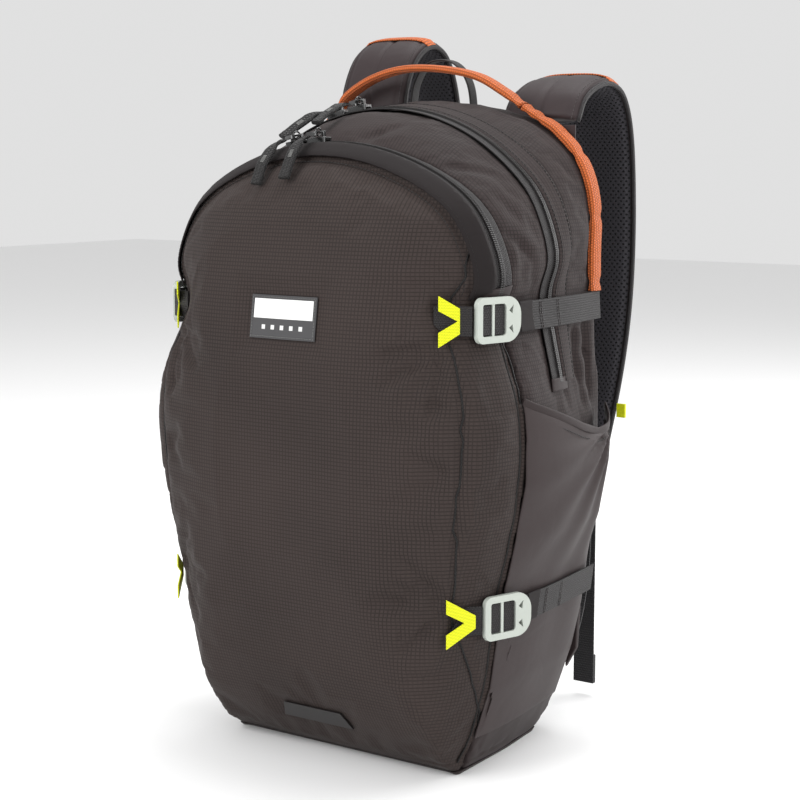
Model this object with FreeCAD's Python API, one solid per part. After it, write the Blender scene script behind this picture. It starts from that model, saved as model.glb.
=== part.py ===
"""A 30 litre hiking daypack, zipped shut and standing on its base, in millimetres.

The bag is a loft of arched outlines, taken at planes square to Y: -Y is the front pocket, +Y the wearer's
back, +Z up. The origin is the middle of the flat base. The fabric shells are hollow and hold a frame sheet
and a laptop sleeve. Sliders, pulls, buckles, straps and loops are solids of their own, each placed at its joint.
"""

import FreeCAD
import Part
import math
import os

V = FreeCAD.Vector
os.makedirs("parts", exist_ok=True)

# ---- driving dimensions --------------------------------------------------------------------------------
WALL = 3.0               # lined fabric wall of the bag
WEBBING_WIDTH = 22.0
WEBBING_THICK = 1.6
SEAM_GAP = 0.3           # air between two pieces that are sewn or threaded together
BACK_Y = 97.0            # plane of the back seam
SPLIT_Y = -46.0          # plane where the front pocket joins the main compartment
FRONT_ZIP_Y = -60.0      # teeth of the front pocket's zip
MAIN_ZIP_Y = 14.0        # teeth of the main zip
FRONT_ARC_Z = 275.0      # centre height of the front zip's top arc
MAIN_ARC_Z = 338.0       # centre height of the main zip's top arc
FRONT_ARC_R = 215.0
MAIN_ARC_R = 180.0
FRONT_ZIP_END = 381.0    # height where the front zip ends on the sides
MAIN_ZIP_END = 308.0
UPPER_STRAP_Z = 362.0    # middle of the upper compression straps
LOWER_STRAP_Z = 136.0    # middle of the lower compression straps
STRAP_HINGE_Z = 510.0       # height where the shoulder straps leave the back
STRAP_WIDTH = 76.0
STRAP_PAD = 9.0
STRAP_MESH = 3.5

# Half widths of the bag at rising heights, on three planes; between planes they are blended.
SIDE_HEIGHTS = (0, 30, 65, 136, 210, 260, 310, 362, 410)
SIDE_FRONT = (100, 108, 117, 129, 151, 160, 150, 120, 118)
SIDE_SPLIT = (119, 131, 139, 149, 166, 171, 164, 144, 152)
SIDE_BACK = (106, 115, 125, 138, 147, 149, 148, 145, 143)

# Each key outline: plane, top height, top radius, corner radius, shoulder width, bottom height, shrink.
OUTLINES = (
    (-128.0, 340.0, 75.0, 40.0, 62.0, 180.0, 0.42),
    (-121.0, 388.0, 115.0, 50.0, 92.0, 128.0, 0.70),
    (-110.0, 434.0, 159.0, 58.0, 108.0, 84.0, 0.88),
    (-97.0, 463.0, 188.0, 62.0, 120.0, 54.0, 1.0),
    (-82.0, 481.0, 206.0, 74.0, 143.0, 31.0, 1.0),
    (-70.0, 490.0, 215.0, 84.0, 151.5, 15.0, 1.0),
    (-48.0, 490.0, 215.0, 84.0, 154.0, -1.0, 1.0),
    (2.0, 518.0, 180.0, 95.0, 155.0, -1.0, 1.0),
    (28.0, 518.0, 180.0, 95.0, 154.0, -1.0, 1.0),
    (40.0, 521.0, 190.0, 92.0, 153.0, -1.0, 1.0),
    (76.0, 525.0, 240.0, 84.0, 148.0, -1.0, 1.0),
    (104.0, 526.0, 310.0, 76.0, 141.0, 20.0, 1.0),
)
ARC_STEPS = (0.0, 0.25, 0.5, 0.75, 1.0)
CORNER_STEPS = (0.33, 0.67, 1.0)
SIDE_STEPS = (0.93, 0.80, 0.67, 0.52, 0.36, 0.18)
FAR = 1000.0


# ---- the bag's outlines --------------------------------------------------------------------------------
def between(x, xs, ys):
    """Straight-line interpolation, held level past both ends."""
    if x <= xs[0]:
        return ys[0]
    for a, b, ya, yb in zip(xs, xs[1:], ys, ys[1:]):
        if x <= b:
            return ya + (yb - ya) * (x - a) / (b - a)
    return ys[-1]


def side_width(y, z):
    """Half width of the bag's side at plane y and height z."""
    front = between(z, SIDE_HEIGHTS, SIDE_FRONT)
    split = between(z, SIDE_HEIGHTS, SIDE_SPLIT)
    back = between(z, SIDE_HEIGHTS, SIDE_BACK)
    return between(y, (-97.0, -76.0, SPLIT_Y, 20.0, BACK_Y), (front, 0.45 * front + 0.55 * split, split,
                                                             0.75 * split + 0.25 * back, back))


def key_outline(key, grow):
    """The right half of one key outline from the top middle to the bottom middle, as (x, z) points."""
    y, top, top_r, corner_r, width, bottom, shrink = key
    sweep = math.asin((width - corner_r) / (top_r - corner_r))
    centre_z = top - top_r
    corner_x = (top_r - corner_r) * math.sin(sweep)
    corner_z = centre_z + (top_r - corner_r) * math.cos(sweep)
    points = []
    for step in ARC_STEPS:
        angle = step * sweep
        points.append(((top_r + grow) * math.sin(angle), centre_z + (top_r + grow) * math.cos(angle)))
    for step in CORNER_STEPS:
        angle = sweep + step * (math.pi / 2 - sweep)
        reach = corner_r + grow
        points.append((corner_x + reach * math.sin(angle), corner_z + reach * math.cos(angle)))
    shoulder_gap = width - shrink * side_width(y, corner_z)
    for step in SIDE_STEPS:
        z = bottom + step * (corner_z - bottom)
        points.append((shrink * side_width(y, z) + shoulder_gap * step ** 9 + grow, z))
    foot = shrink * side_width(y, bottom)
    points.append((foot * 0.97 + grow * 0.7, bottom + 8.0 - grow * 0.7))
    points.append((foot * 0.86, bottom - grow))
    points.append((foot * 0.40, bottom - grow))
    return points


def half_outline(y, grow):
    """The right half of the bag's outline at any plane y, blended between the key outlines."""
    for a, b in zip(OUTLINES, OUTLINES[1:]):
        if y <= b[0]:
            share = max(0.0, (y - a[0]) / (b[0] - a[0]))
            pa = key_outline(a, grow)
            pb = key_outline(b, grow)
            return [(p[0] + (q[0] - p[0]) * share, p[1] + (q[1] - p[1]) * share) for p, q in zip(pa, pb)]
    return key_outline(OUTLINES[-1], grow)


def outline_wire(y, grow, at=None):
    """The closed outline at plane y, drawn at plane `at` if that is given."""
    half = half_outline(y, grow)
    where = y if at is None else at
    right = [V(x, where, z) for x, z in half]
    left = [V(-x, where, z) for x, z in reversed(half[1:])]
    points = right + left
    curve = Part.BSplineCurve()
    curve.interpolate(Points=points, PeriodicFlag=True, Parameters=[float(i) for i in range(len(points) + 1)])
    return Part.Wire(curve.toShape())


def envelope(y0, y1, grow=0.0, push=0.0):
    """The bag's solid between two planes, grown outwards in its own plane and pushed along Y."""
    planes = [y0] + [k[0] for k in OUTLINES if y0 < k[0] < y1] + [y1]
    wires = [outline_wire(y, grow, y + push) for y in planes]
    return Part.makeLoft(wires, True, True)


def slab(x0, x1, y0, y1, z0, z1):
    return Part.makeBox(x1 - x0, y1 - y0, z1 - z0, V(x0, y0, z0))


def skin(y0, y1, inner, outer):
    """A layer round the bag between two planes, from `inner` to `outer` off its surface."""
    return envelope(y0, y1, outer).cut(envelope(y0 - 2.0, y1 + 2.0, inner))


BAG = envelope(OUTLINES[0][0], BACK_Y)


def side_strip(side, y0, y1, z0, z1, inner, outer):
    """A strip of webbing that lies on one side of the bag."""
    region = slab(0, FAR, y0 - 1, y1 + 1, z0, z1) if side > 0 else slab(-FAR, 0, y0 - 1, y1 + 1, z0, z1)
    return skin(y0, y1, inner, outer).common(region)


SLIVER = 1.0                # cuts may leave crumbs smaller than this many cubic millimetres


def save(name, shape):
    solids = [s for s in shape.Solids if s.Volume > SLIVER]
    out = solids[0] if len(solids) == 1 else Part.makeCompound(solids)
    out.exportStep("parts/" + name + ".step")


def mirrored(shape):
    return shape.mirror(V(0, 0, 0), V(1, 0, 0))


# ---- fabric shells -------------------------------------------------------------------------------------
def main_compartment():
    """The big compartment's lined shell, closed all round."""
    outer = envelope(SPLIT_Y + SEAM_GAP, BACK_Y).common(slab(-FAR, FAR, -FAR, FAR, WALL, FAR))
    inner = envelope(SPLIT_Y + WALL, BACK_Y - WALL, -WALL).common(slab(-FAR, FAR, -FAR, FAR, 2 * WALL, FAR))
    return outer.cut(inner)


def front_pocket():
    """The bulging front pocket's shell."""
    outer = envelope(OUTLINES[0][0], SPLIT_Y).common(slab(-FAR, FAR, -FAR, FAR, WALL, FAR))
    above_floor = slab(-FAR, FAR, -FAR, FAR, 2 * WALL, FAR)
    inner = envelope(OUTLINES[0][0], SPLIT_Y - 2 * WALL, -WALL, WALL).common(above_floor)
    return outer.cut(inner)


def base_panel():
    """The flat base that the bag stands on, under both compartments."""
    return envelope(-76.0, BACK_Y, -0.5).common(slab(-FAR, FAR, -FAR, FAR, 0, WALL - 0.05))


BACK_PAD_THICK = 12.0
BACK_PAD_TOP = 486.0
BACK_PAD_FOOT = 58.0
BACK_PAD_HALF = 120.0
BACK_CHANNEL = 16.0


def back_panel():
    """The foam back pad with a spine channel and two cross channels for air."""
    back = BACK_Y + BACK_PAD_THICK
    pad = slab(-BACK_PAD_HALF, BACK_PAD_HALF, BACK_Y + 0.3, back, BACK_PAD_FOOT, BACK_PAD_TOP)
    uprights = [e for e in pad.Edges if abs(e.Vertexes[0].X - e.Vertexes[-1].X) < 1
                and abs(e.Vertexes[0].Z - e.Vertexes[-1].Z) < 1]
    pad = pad.makeFillet(34.0, uprights)
    deep = BACK_Y + 5.0
    pad = pad.cut(slab(-BACK_CHANNEL / 2, BACK_CHANNEL / 2, deep, FAR, BACK_PAD_FOOT - 1, 410))
    for z in (185.0, 310.0):
        pad = pad.cut(slab(-FAR, FAR, deep, FAR, z - BACK_CHANNEL / 2, z + BACK_CHANNEL / 2))
    return pad


def frame_sheet():
    """The stiff plastic sheet behind the lining that keeps the back flat."""
    sheet = slab(-104, 104, BACK_Y - WALL - 2.2, BACK_Y - WALL - 0.4, 50, 470)
    corners = [e for e in sheet.Edges if e.Length < 3.0]
    return sheet.makeFillet(30.0, corners)


def laptop_sleeve():
    """A padded sleeve, open at the top, in front of the frame sheet."""
    outer = slab(-110, 110, 62, BACK_Y - WALL - 3.0, 62, 340)
    return outer.cut(slab(-106, 106, 66, BACK_Y - WALL - 6.0, 66, 341))


POCKET_WALL = 1.6
POCKET_PLANES = (-52.0, -20.0, 16.0, 48.0, 76.0, 94.0)
# How far the pocket's wall stands off the bag at rising heights and across its width.
POCKET_LEVELS = (32.0, 76.0, 116.0, 156.0, 195.0, 240.0, 272.0, 306.0)
POCKET_STAND_OFF = (1.0, 3.0, 3.0, 3.0, 11.0, 15.0, 16.0, 16.0)
POCKET_SHAPE = (0.0, 0.5, 0.8, 1.0, 1.0, 0.25)
POCKET_HEM = ((-54, 302), (-20, 289), (20, 275), (50, 267), (74, 269), (88, 277), (98, 288))


def pocket_x(y, z):
    """Outer face of the right side pocket."""
    stand_off = between(z, POCKET_LEVELS, POCKET_STAND_OFF) * between(y, POCKET_PLANES, POCKET_SHAPE)
    return bag_x(y, z) + 0.6 + POCKET_WALL + stand_off


def bag_x(y, z):
    """The bag's half width at plane y and height z."""
    across = Part.makeLine(V(0, y, z), V(FAR, y, z))
    return BAG.common(across).BoundBox.XMax


def side_pocket():
    """The right side pocket: one stretch-fabric wall, sewn to the bag at its front, rear and foot."""
    wires = []
    for z in POCKET_LEVELS:
        outer = Part.BSplineCurve()
        outer.interpolate(Points=[V(pocket_x(y, z), y, z) for y in POCKET_PLANES])
        inner = Part.BSplineCurve()
        inner.interpolate(Points=[V(pocket_x(y, z) - POCKET_WALL, y, z) for y in POCKET_PLANES])
        a, b = outer.StartPoint, outer.EndPoint
        c, d = inner.StartPoint, inner.EndPoint
        wires.append(Part.Wire([outer.toShape(), Part.makeLine(b, d), inner.toShape(), Part.makeLine(c, a)]))
    wall = Part.makeLoft(wires, True, True)
    hem = [V(0, y, z) for y, z in POCKET_HEM]
    top = POCKET_LEVELS[-1] + 4.0
    outline = [V(0, -70, hem[0].z)] + hem + [V(0, 110, hem[-1].z), V(0, 110, top), V(0, -70, top)]
    above = Part.Face(Part.makePolygon(outline + [outline[0]]))
    return wall.cut(above.extrude(V(FAR, 0, 0))).cut(envelope(-80.0, BACK_Y, SEAM_GAP))


# ---- zips ----------------------------------------------------------------------------------------------
TAPE_HALF = 12.0
TAPE_TOP = 1.2
TEETH_TOP = 3.0
TEETH_HALF = 2.5
SLIDER_HALF = 5.5
BRIDGE_TOP = 9.6          # top of the slider's bridge over the underside of its body
BRIDGE_BAR = 1.4


def zip_tape(y, end_z):
    """The zip's tape and its row of teeth, which follow the arch down both sides."""
    tape = skin(y - TAPE_HALF, y + TAPE_HALF, 0.15, TAPE_TOP)
    teeth = skin(y - TEETH_HALF, y + TEETH_HALF, TAPE_TOP - 0.1, TEETH_TOP)
    return tape.fuse(teeth).common(slab(-FAR, FAR, -FAR, FAR, end_z, FAR))


def zip_flap(y0, y1, end_z):
    """A storm flap along one edge of the zip."""
    flap = skin(y0, y1, TAPE_TOP + 0.2, TAPE_TOP + 1.6)
    return flap.common(slab(-FAR, FAR, -FAR, FAR, end_z, FAR))


def slider(y, centre_z, arc_r):
    """A zip slider over the top of its arc, centred on x = 0, before it is turned to its place.
    It straddles the teeth, and a bridge on its back holds the pull's ring."""
    low = centre_z + arc_r + TAPE_TOP + 0.4
    body = slab(-9, 9, y - SLIDER_HALF, y + SLIDER_HALF, low, low + 4.6)
    tunnel_half = TEETH_HALF + 0.5
    tunnel_top = low + TEETH_TOP - TAPE_TOP + 0.1
    body = body.cut(slab(-10, 10, y - tunnel_half, y + tunnel_half, low - 1, tunnel_top))
    corners = [e for e in body.Edges if abs(e.Vertexes[0].Z - e.Vertexes[-1].Z) > 4.0]
    body = body.makeFillet(2.0, corners)
    post = slab(-6, 6, y - 1.5, y + 1.5, low + 4.5, low + BRIDGE_TOP)
    return body.fuse(post.cut(slab(-4, 4, y - 2, y + 2, low + 4.0, low + BRIDGE_TOP - BRIDGE_BAR)))


def turned(shape, angle_deg, centre_z):
    """A shape turned about the Y axis line at height centre_z; positive goes towards +X."""
    out = shape.copy()
    out.rotate(V(0, 0, centre_z), V(0, 1, 0), angle_deg)
    return out


PULL_WIDTH = 9.0
PULL_THICK = 3.0
RING_R = 3.0
RING_WIRE_R = 0.7
# Each pull's middle line from its ring: distance forwards and height. A narrow neck joins it to the ring.
PULL_NECK_LINE = ((2.9, -0.4), (5, -0.8), (8, -1.5))
FRONT_PULL_LINE = ((7, -1.3), (15, -3), (26, -10), (36, -22), (43, -37))
MAIN_PULL_LINE = ((7, -1.3), (15, -3), (28, -7), (41, -13), (53, -20))
# Slider name: teeth plane, arc centre height, arc radius, turn towards +X, the pull's turn, the pull's line.
SLIDERS = {
    "front_left": (FRONT_ZIP_Y, FRONT_ARC_Z, FRONT_ARC_R, -9.6, 20.0, FRONT_PULL_LINE),
    "front_right": (FRONT_ZIP_Y, FRONT_ARC_Z, FRONT_ARC_R, -4.0, 4.0, FRONT_PULL_LINE),
    "main_left": (MAIN_ZIP_Y, MAIN_ARC_Z, MAIN_ARC_R, -16.6, 30.0, MAIN_PULL_LINE),
    "main_right": (MAIN_ZIP_Y, MAIN_ARC_Z, MAIN_ARC_R, -9.6, 8.0, MAIN_PULL_LINE),
}


def ribbon(points, thick, y, width):
    """A ribbon of even thickness along a smooth line of (x, z) points, `width` wide along +Y."""
    line = Part.BSplineCurve()
    line.interpolate(Points=[V(x, y, z) for x, z in points])
    sides = []
    count = 14
    for sign in (1, -1):
        edge = []
        for i in range(count + 1):
            t = line.FirstParameter + (line.LastParameter - line.FirstParameter) * i / count
            along = line.tangent(t)[0]
            edge.append(line.value(t) + V(-along.z, 0, along.x) * (sign * thick / 2))
        curve = Part.BSplineCurve()
        curve.interpolate(Points=edge)
        sides.append(curve)
    top, under = sides
    outline = Part.Wire([top.toShape(), Part.makeLine(top.EndPoint, under.EndPoint), under.toShape(),
                         Part.makeLine(under.StartPoint, top.StartPoint)])
    return Part.Face(outline).extrude(V(0, width, 0))


def pull(name):
    """A zip pull: a wire ring round the slider's bridge and a webbing tab that lies on the bag."""
    y, centre_z, arc_r, turn, yaw, line = SLIDERS[name]
    ring = Part.makeTorus(RING_R, RING_WIRE_R, V(0, 0, 0), V(1, 0, 0))
    tab = ribbon(line, PULL_THICK, -PULL_WIDTH / 2, PULL_WIDTH)
    neck = ribbon(PULL_NECK_LINE, PULL_THICK - 0.6, -RING_WIRE_R * 2, RING_WIRE_R * 4)
    tab = tab.fuse(neck)
    tab.rotate(V(0, 0, 0), V(0, 0, 1), -90.0)
    both = tab.fuse(ring)
    both.rotate(V(0, 0, 0), V(0, 0, 1), -yaw)
    both.translate(V(0, y, centre_z + arc_r + TAPE_TOP + 0.4 + BRIDGE_TOP - BRIDGE_BAR / 2))
    return turned(both, turn, centre_z)


def placed_slider(name):
    y, centre_z, arc_r, turn = SLIDERS[name][:4]
    return turned(slider(y, centre_z, arc_r), turn, centre_z)


# ---- compression straps --------------------------------------------------------------------------------
BUCKLE_LENGTH = 45.0
BUCKLE_HEIGHT = 34.0
BUCKLE_THICK = 4.0
BUCKLE_WINDOW = 11.8        # half height of the opening that the webbing runs through
LEVELS = ("upper", "lower")
FRONT_SEAM = {"upper": V(119, -97, UPPER_STRAP_Z), "lower": V(125, -96, LOWER_STRAP_Z)}
BUCKLE_START = {"upper": V(145.6, -84.0, UPPER_STRAP_Z), "lower": V(147.5, -73.0, LOWER_STRAP_Z)}
BUCKLE_HEADING_DEG = {"upper": 77.0, "lower": 72.0}


def rounded_plate(points, radii, thick):
    """A plate with rounded corners from its corner points, in its own XZ plane, `thick` along +Y."""
    wire = Part.makePolygon(points + [points[0]])
    plate = Part.Face(wire).extrude(V(0, thick, 0))
    for point, radius in zip(points, radii):
        if radius > 0:
            edge = [e for e in plate.Edges if e.Length > thick - 0.01
                    and all(math.hypot(v.X - point.x, v.Z - point.z) < 0.01 for v in e.Vertexes)]
            plate = plate.makeFillet(radius, edge)
    return plate


def flat_buckle():
    """The buckle lying in its own frame: x along the strap from its front bar, z across, y thickness."""
    h = BUCKLE_HEIGHT / 2
    outline = [V(0, 0, -h), V(BUCKLE_LENGTH, 0, -h), V(BUCKLE_LENGTH, 0, h), V(0, 0, h)]
    plate = rounded_plate(outline, (6.0, 14.0, 14.0, 6.0), BUCKLE_THICK)
    w = BUCKLE_WINDOW
    window = [V(5.5, 0, -w), V(29.5, 0, -w), V(29.5, 0, w), V(5.5, 0, w)]
    plate = plate.cut(rounded_plate(window, (1.5, 3.0, 3.0, 1.5), BUCKLE_THICK))
    plate = plate.fuse(slab(15.5, 18.0, 0.6, BUCKLE_THICK - 0.8, -w - 0.5, w + 0.5))
    for up in (-1, 1):
        notch = [V(32.5, 0, up * 6.5), V(37.0, 0, up * 10.5), V(36.0, 0, up * 4.0)]
        plate = plate.cut(rounded_plate(notch, (0.0, 0.0, 0.0), BUCKLE_THICK))
    return plate


def placed_on_side(shape, level):
    """Puts a shape from the buckle's own frame on the right side of the bag, thickness outwards."""
    out = shape.copy()
    out.translate(V(0, -BUCKLE_THICK, 0))
    out.rotate(V(0, 0, 0), V(0, 0, 1), BUCKLE_HEADING_DEG[level])
    out.translate(BUCKLE_START[level])
    return out


def buckle(level):
    return placed_on_side(flat_buckle(), level)


def buckle_webbing(level):
    """The strap's turns round the buckle's ladder bars, which move with the buckle."""
    half = WEBBING_WIDTH / 2
    first = slab(6.5, 14.9, 1.0, BUCKLE_THICK - 0.6, -half, half)
    second = slab(18.6, 28.5, 1.0, BUCKLE_THICK - 0.6, -half, half)
    return placed_on_side(first.fuse(second), level)


def front_webbing(level):
    """The short strap from the front seam to the buckle's front bar."""
    start = FRONT_SEAM[level]
    end = BUCKLE_START[level]
    heading = math.atan2(end.y - start.y, end.x - start.x)
    length = math.hypot(end.x - start.x, end.y - start.y) - 1.0
    strip = slab(0.0, length, -WEBBING_THICK - 1.2, -1.2, -WEBBING_WIDTH / 2, WEBBING_WIDTH / 2)
    strip.rotate(V(0, 0, 0), V(0, 0, 1), math.degrees(heading))
    strip.translate(start)
    return strip.cut(envelope(-128.0, SPLIT_Y, 0.4))


def rear_webbing(level):
    """The long strap from the back seam forward to the buckle, over the side pocket where there is one."""
    z = {"upper": UPPER_STRAP_Z, "lower": LOWER_STRAP_Z}[level]
    low = {"upper": 3.2, "lower": 6.2}[level]
    end = BUCKLE_START[level].y + BUCKLE_LENGTH * math.sin(math.radians(BUCKLE_HEADING_DEG[level]))
    return side_strip(1, end + 2.0, BACK_Y - 0.5, z - WEBBING_WIDTH / 2, z + WEBBING_WIDTH / 2,
                      low, low + WEBBING_THICK)


LOOP_THICK = 1.2


def gear_loop(level):
    """A folded loop of narrow webbing, sewn into the front seam above and below the strap."""
    seam = FRONT_SEAM[level]
    reach = 24.0
    rise = 14.0
    lower = [V(0, 0, -rise - 5), V(0, 0, -rise + 6), V(reach, 0, 5), V(reach, 0, -5)]
    upper = [V(p.x, 0, -p.z) for p in lower]
    both = None
    for points in (lower, upper):
        leg = Part.Face(Part.makePolygon(points + [points[0]])).extrude(V(0, LOOP_THICK, 0))
        both = leg if both is None else both.fuse(leg)
    heading = 52.0 if level == "upper" else 58.0
    both.translate(V(0, -LOOP_THICK - 10.0, 0))
    both.rotate(V(0, 0, 0), V(0, 0, 1), heading)
    both.translate(seam)
    return both.removeSplitter().cut(envelope(OUTLINES[0][0], SPLIT_Y, 0.3)).cut(front_webbing(level))


# ---- handle, hang loop, small tabs ---------------------------------------------------------------------
HANDLE_WIDTH = 15.0
HANDLE_THICK = 4.5
HANDLE_Y = 82.0
HANDLE_LEFT = (-108.0, 521.6)
HANDLE_RIGHT = (80.0, 521.6)
HANDLE_CROWN = ((-96, 534), (-70, 547), (-38, 554), (0, 553), (36, 546), (62, 533))
HANDLE_LEFT_END = ((-131, 486), (-121, 505), (-110.0, 519.8))
HANDLE_RIGHT_END = ((82.2, 520.2), (96, 512.0), (110, 504))


def haul_handle():
    """The free part of the grab handle, between its two sewn ends."""
    return ribbon((HANDLE_LEFT,) + HANDLE_CROWN + (HANDLE_RIGHT,), HANDLE_THICK, HANDLE_Y, HANDLE_WIDTH)


def handle_webbing(side):
    """The same webbing where it is sewn along the back seam, from the upper strap up to the handle's end."""
    if side > 0:
        rise = ribbon(HANDLE_RIGHT_END, HANDLE_THICK, HANDLE_Y, HANDLE_WIDTH)
        low_x = 104.0
    else:
        rise = ribbon(HANDLE_LEFT_END, HANDLE_THICK, HANDLE_Y, HANDLE_WIDTH)
        low_x = 127.0
    band = skin(HANDLE_Y, min(HANDLE_Y + HANDLE_WIDTH, BACK_Y), 0.3, 0.3 + HANDLE_THICK)
    keep = slab(low_x, FAR, -FAR, FAR, UPPER_STRAP_Z + WEBBING_WIDTH / 2 + 0.5, FAR)
    sewn = band.common(keep if side > 0 else mirrored(keep))
    return sewn.fuse(rise).cut(envelope(HANDLE_Y - 8.0, HANDLE_Y + 20.0, 0.3))


HANG_LOOP_ENDS = ((-41, 509), (23, 509))
HANG_LOOP_CROWN = ((-37, 541), (-22, 559), (2, 559), (18, 541))
HANG_LOOP_Y = 99.0


def hang_loop():
    """The thin loop behind the handle that the bag hangs from."""
    points = [HANG_LOOP_ENDS[0]] + list(HANG_LOOP_CROWN) + [HANG_LOOP_ENDS[1]]
    return ribbon(points, 1.8, HANG_LOOP_Y, 11.0)


def strap_yoke():
    """The stitched panel across the top of the back that the straps and the hang loop are sewn under."""
    return slab(-124, 124, BACK_Y + 0.3, BACK_Y + 1.9, 489, 506)


LABEL_WIDTH = 63.0
LABEL_HEIGHT = 33.0
LABEL_MIDDLE_Z = 360.0
TAB_WIDTHS = (69.0, 57.0)
TAB_FOOT = 32.0
TAB_TOP = 46.0


def front_patch(outline, thick):
    """A patch that follows the front pocket's face inside an outline of (x, z) points."""
    corners = [V(x, -FAR / 2, z) for x, z in outline]
    block = Part.Face(Part.makePolygon(corners + [corners[0]])).extrude(V(0, FAR, 0))
    layer = envelope(OUTLINES[0][0], SPLIT_Y, 0.4, -thick).cut(envelope(OUTLINES[0][0], SPLIT_Y, 0.1, -0.1))
    return layer.common(block).common(slab(-FAR, FAR, -FAR, -60, 0, FAR))


def label():
    """The woven label on the front."""
    half = LABEL_WIDTH / 2
    low = LABEL_MIDDLE_Z - LABEL_HEIGHT / 2
    high = LABEL_MIDDLE_Z + LABEL_HEIGHT / 2
    return front_patch(((-half, low), (half, low), (half, high), (-half, high)), 1.6)


def light_tab():
    """The coated tab near the bottom edge of the front, for a bike light."""
    foot, top = (w / 2 for w in TAB_WIDTHS)
    return front_patch(((-foot, TAB_FOOT), (foot, TAB_FOOT), (top, TAB_TOP), (-top, TAB_TOP)), 2.2)


# ---- shoulder straps -----------------------------------------------------------------------------------
# The strap's middle line in the YZ plane, from its stitched root over the crown and down to the ladder lock.
STRAP_LINE = {
    -1: ((106, 510), (112, 540), (128, 566), (152, 577), (176, 566), (192, 532), (199, 472), (199, 392),
         (193, 312), (184, 234)),
    1: ((106, 510), (118, 528), (140, 539), (164, 541), (186, 530), (199, 498), (203, 440), (201, 370),
        (194, 300), (185, 234)),
}
STRAP_CENTRE_X = 86.0
STRAP_END_WIDTH = 44.0


def strap_layer(side, inner, outer):
    """One layer of a shoulder strap: the side profile, cut to the strap's outline as seen from behind."""
    line = Part.BSplineCurve()
    line.interpolate(Points=[V(0, y, z) for y, z in STRAP_LINE[side]])
    edges = []
    count = 22
    for offset in (inner, outer):
        points = []
        for i in range(count + 1):
            t = line.FirstParameter + (line.LastParameter - line.FirstParameter) * i / count
            along = line.tangent(t)[0]
            points.append(line.value(t) + V(0, -along.z, along.y) * offset)
        curve = Part.BSplineCurve()
        curve.interpolate(Points=points)
        edges.append(curve)
    a, b = edges
    outline = Part.Wire([a.toShape(), Part.makeLine(a.EndPoint, b.EndPoint), b.toShape(),
                         Part.makeLine(b.StartPoint, a.StartPoint)])
    sheet = Part.Face(outline)
    sheet.translate(V(-FAR / 2, 0, 0))
    band = sheet.extrude(V(FAR, 0, 0))
    return band.common(strap_outline(side))


def strap_outline(side):
    """The strap seen from behind: full width over the shoulder, narrowing to the ladder lock."""
    x = STRAP_CENTRE_X
    half = STRAP_WIDTH / 2
    end = STRAP_END_WIDTH / 2
    outside = [(x + half, 630), (x + half, 410), (x + half - 3, 310), (x + end + 6, 250), (x + end, 210)]
    inside = [(x - end, 210), (x - end - 4, 250), (x - half + 3, 310), (x - half, 410), (x - half, 630)]
    right = Part.BSplineCurve()
    right.interpolate(Points=[V(px, 0, pz) for px, pz in outside])
    left = Part.BSplineCurve()
    left.interpolate(Points=[V(px, 0, pz) for px, pz in inside])
    wire = Part.Wire([right.toShape(), Part.makeLine(right.EndPoint, left.StartPoint), left.toShape(),
                      Part.makeLine(left.EndPoint, right.StartPoint)])
    shape = Part.Face(wire).extrude(V(0, FAR, 0))
    return shape if side > 0 else mirrored(shape)


def strap_pad(side):
    return strap_layer(side, -2.0, STRAP_PAD - 2.0)


def strap_mesh(side):
    return strap_layer(side, -2.0 - STRAP_MESH, -2.05)



BAND_HALF = 6.5


def strap_band(side):
    """The bright woven band across the crown of a shoulder strap."""
    crown_y = {-1: 150.0, 1: 166.0}[side]
    band = strap_layer(side, STRAP_PAD - 1.9, STRAP_PAD - 0.4)
    return band.common(slab(-FAR, FAR, crown_y - BAND_HALF, crown_y + BAND_HALF, STRAP_HINGE_Z, FAR))


def strap_tab(side):
    """The small bright loop on the outer edge of a shoulder strap."""
    tab = slab(117.8, 126.0, 186.0, 188.6, 256.0, 268.0)
    return tab if side > 0 else mirrored(tab)


LOCK_WIDTH = 31.0
LOCK_HEIGHT = 27.0
LOCK_THICK = 4.0
LOCK_TOP = V(0, 188.0, 231.4)     # the lock's upper bar, at the end of the shoulder strap
LOCK_TILT_DEG = 4.0
TAIL_WIDTH = 20.0
TAIL_THICK = 1.6
TAIL_FOOT_Z = 12.0


def ladder_lock(side):
    """The ladder lock that grips the adjusting webbing, hung from the end of the strap."""
    half = LOCK_WIDTH / 2
    points = [V(-half, 0, 0), V(half, 0, 0), V(half + 2, 0, -LOCK_HEIGHT), V(-half - 2, 0, -LOCK_HEIGHT)]
    plate = rounded_plate(points, (4.0, 4.0, 7.0, 7.0), LOCK_THICK)
    for top in (-3.5, -11.5, -19.0):
        plate = plate.cut(slab(-11.5, 11.5, -1, LOCK_THICK + 1, top - 4.0, top))
    plate.rotate(V(0, 0, 0), V(1, 0, 0), -LOCK_TILT_DEG)
    plate.translate(LOCK_TOP + V(side * STRAP_CENTRE_X, -LOCK_THICK / 2, 0))
    return plate


def strap_tongue(side):
    """The short webbing that holds the ladder lock, sewn on the outer face of the strap."""
    y = LOCK_TOP.y + 5.2
    tongue = slab(-10.5, 10.5, y, y + 1.6, LOCK_TOP.z - 1.5, LOCK_TOP.z + 36)
    tongue.translate(V(side * STRAP_CENTRE_X, 0, 0))
    tongue.rotate(V(0, y, LOCK_TOP.z), V(1, 0, 0), -6.8)
    return tongue


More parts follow.
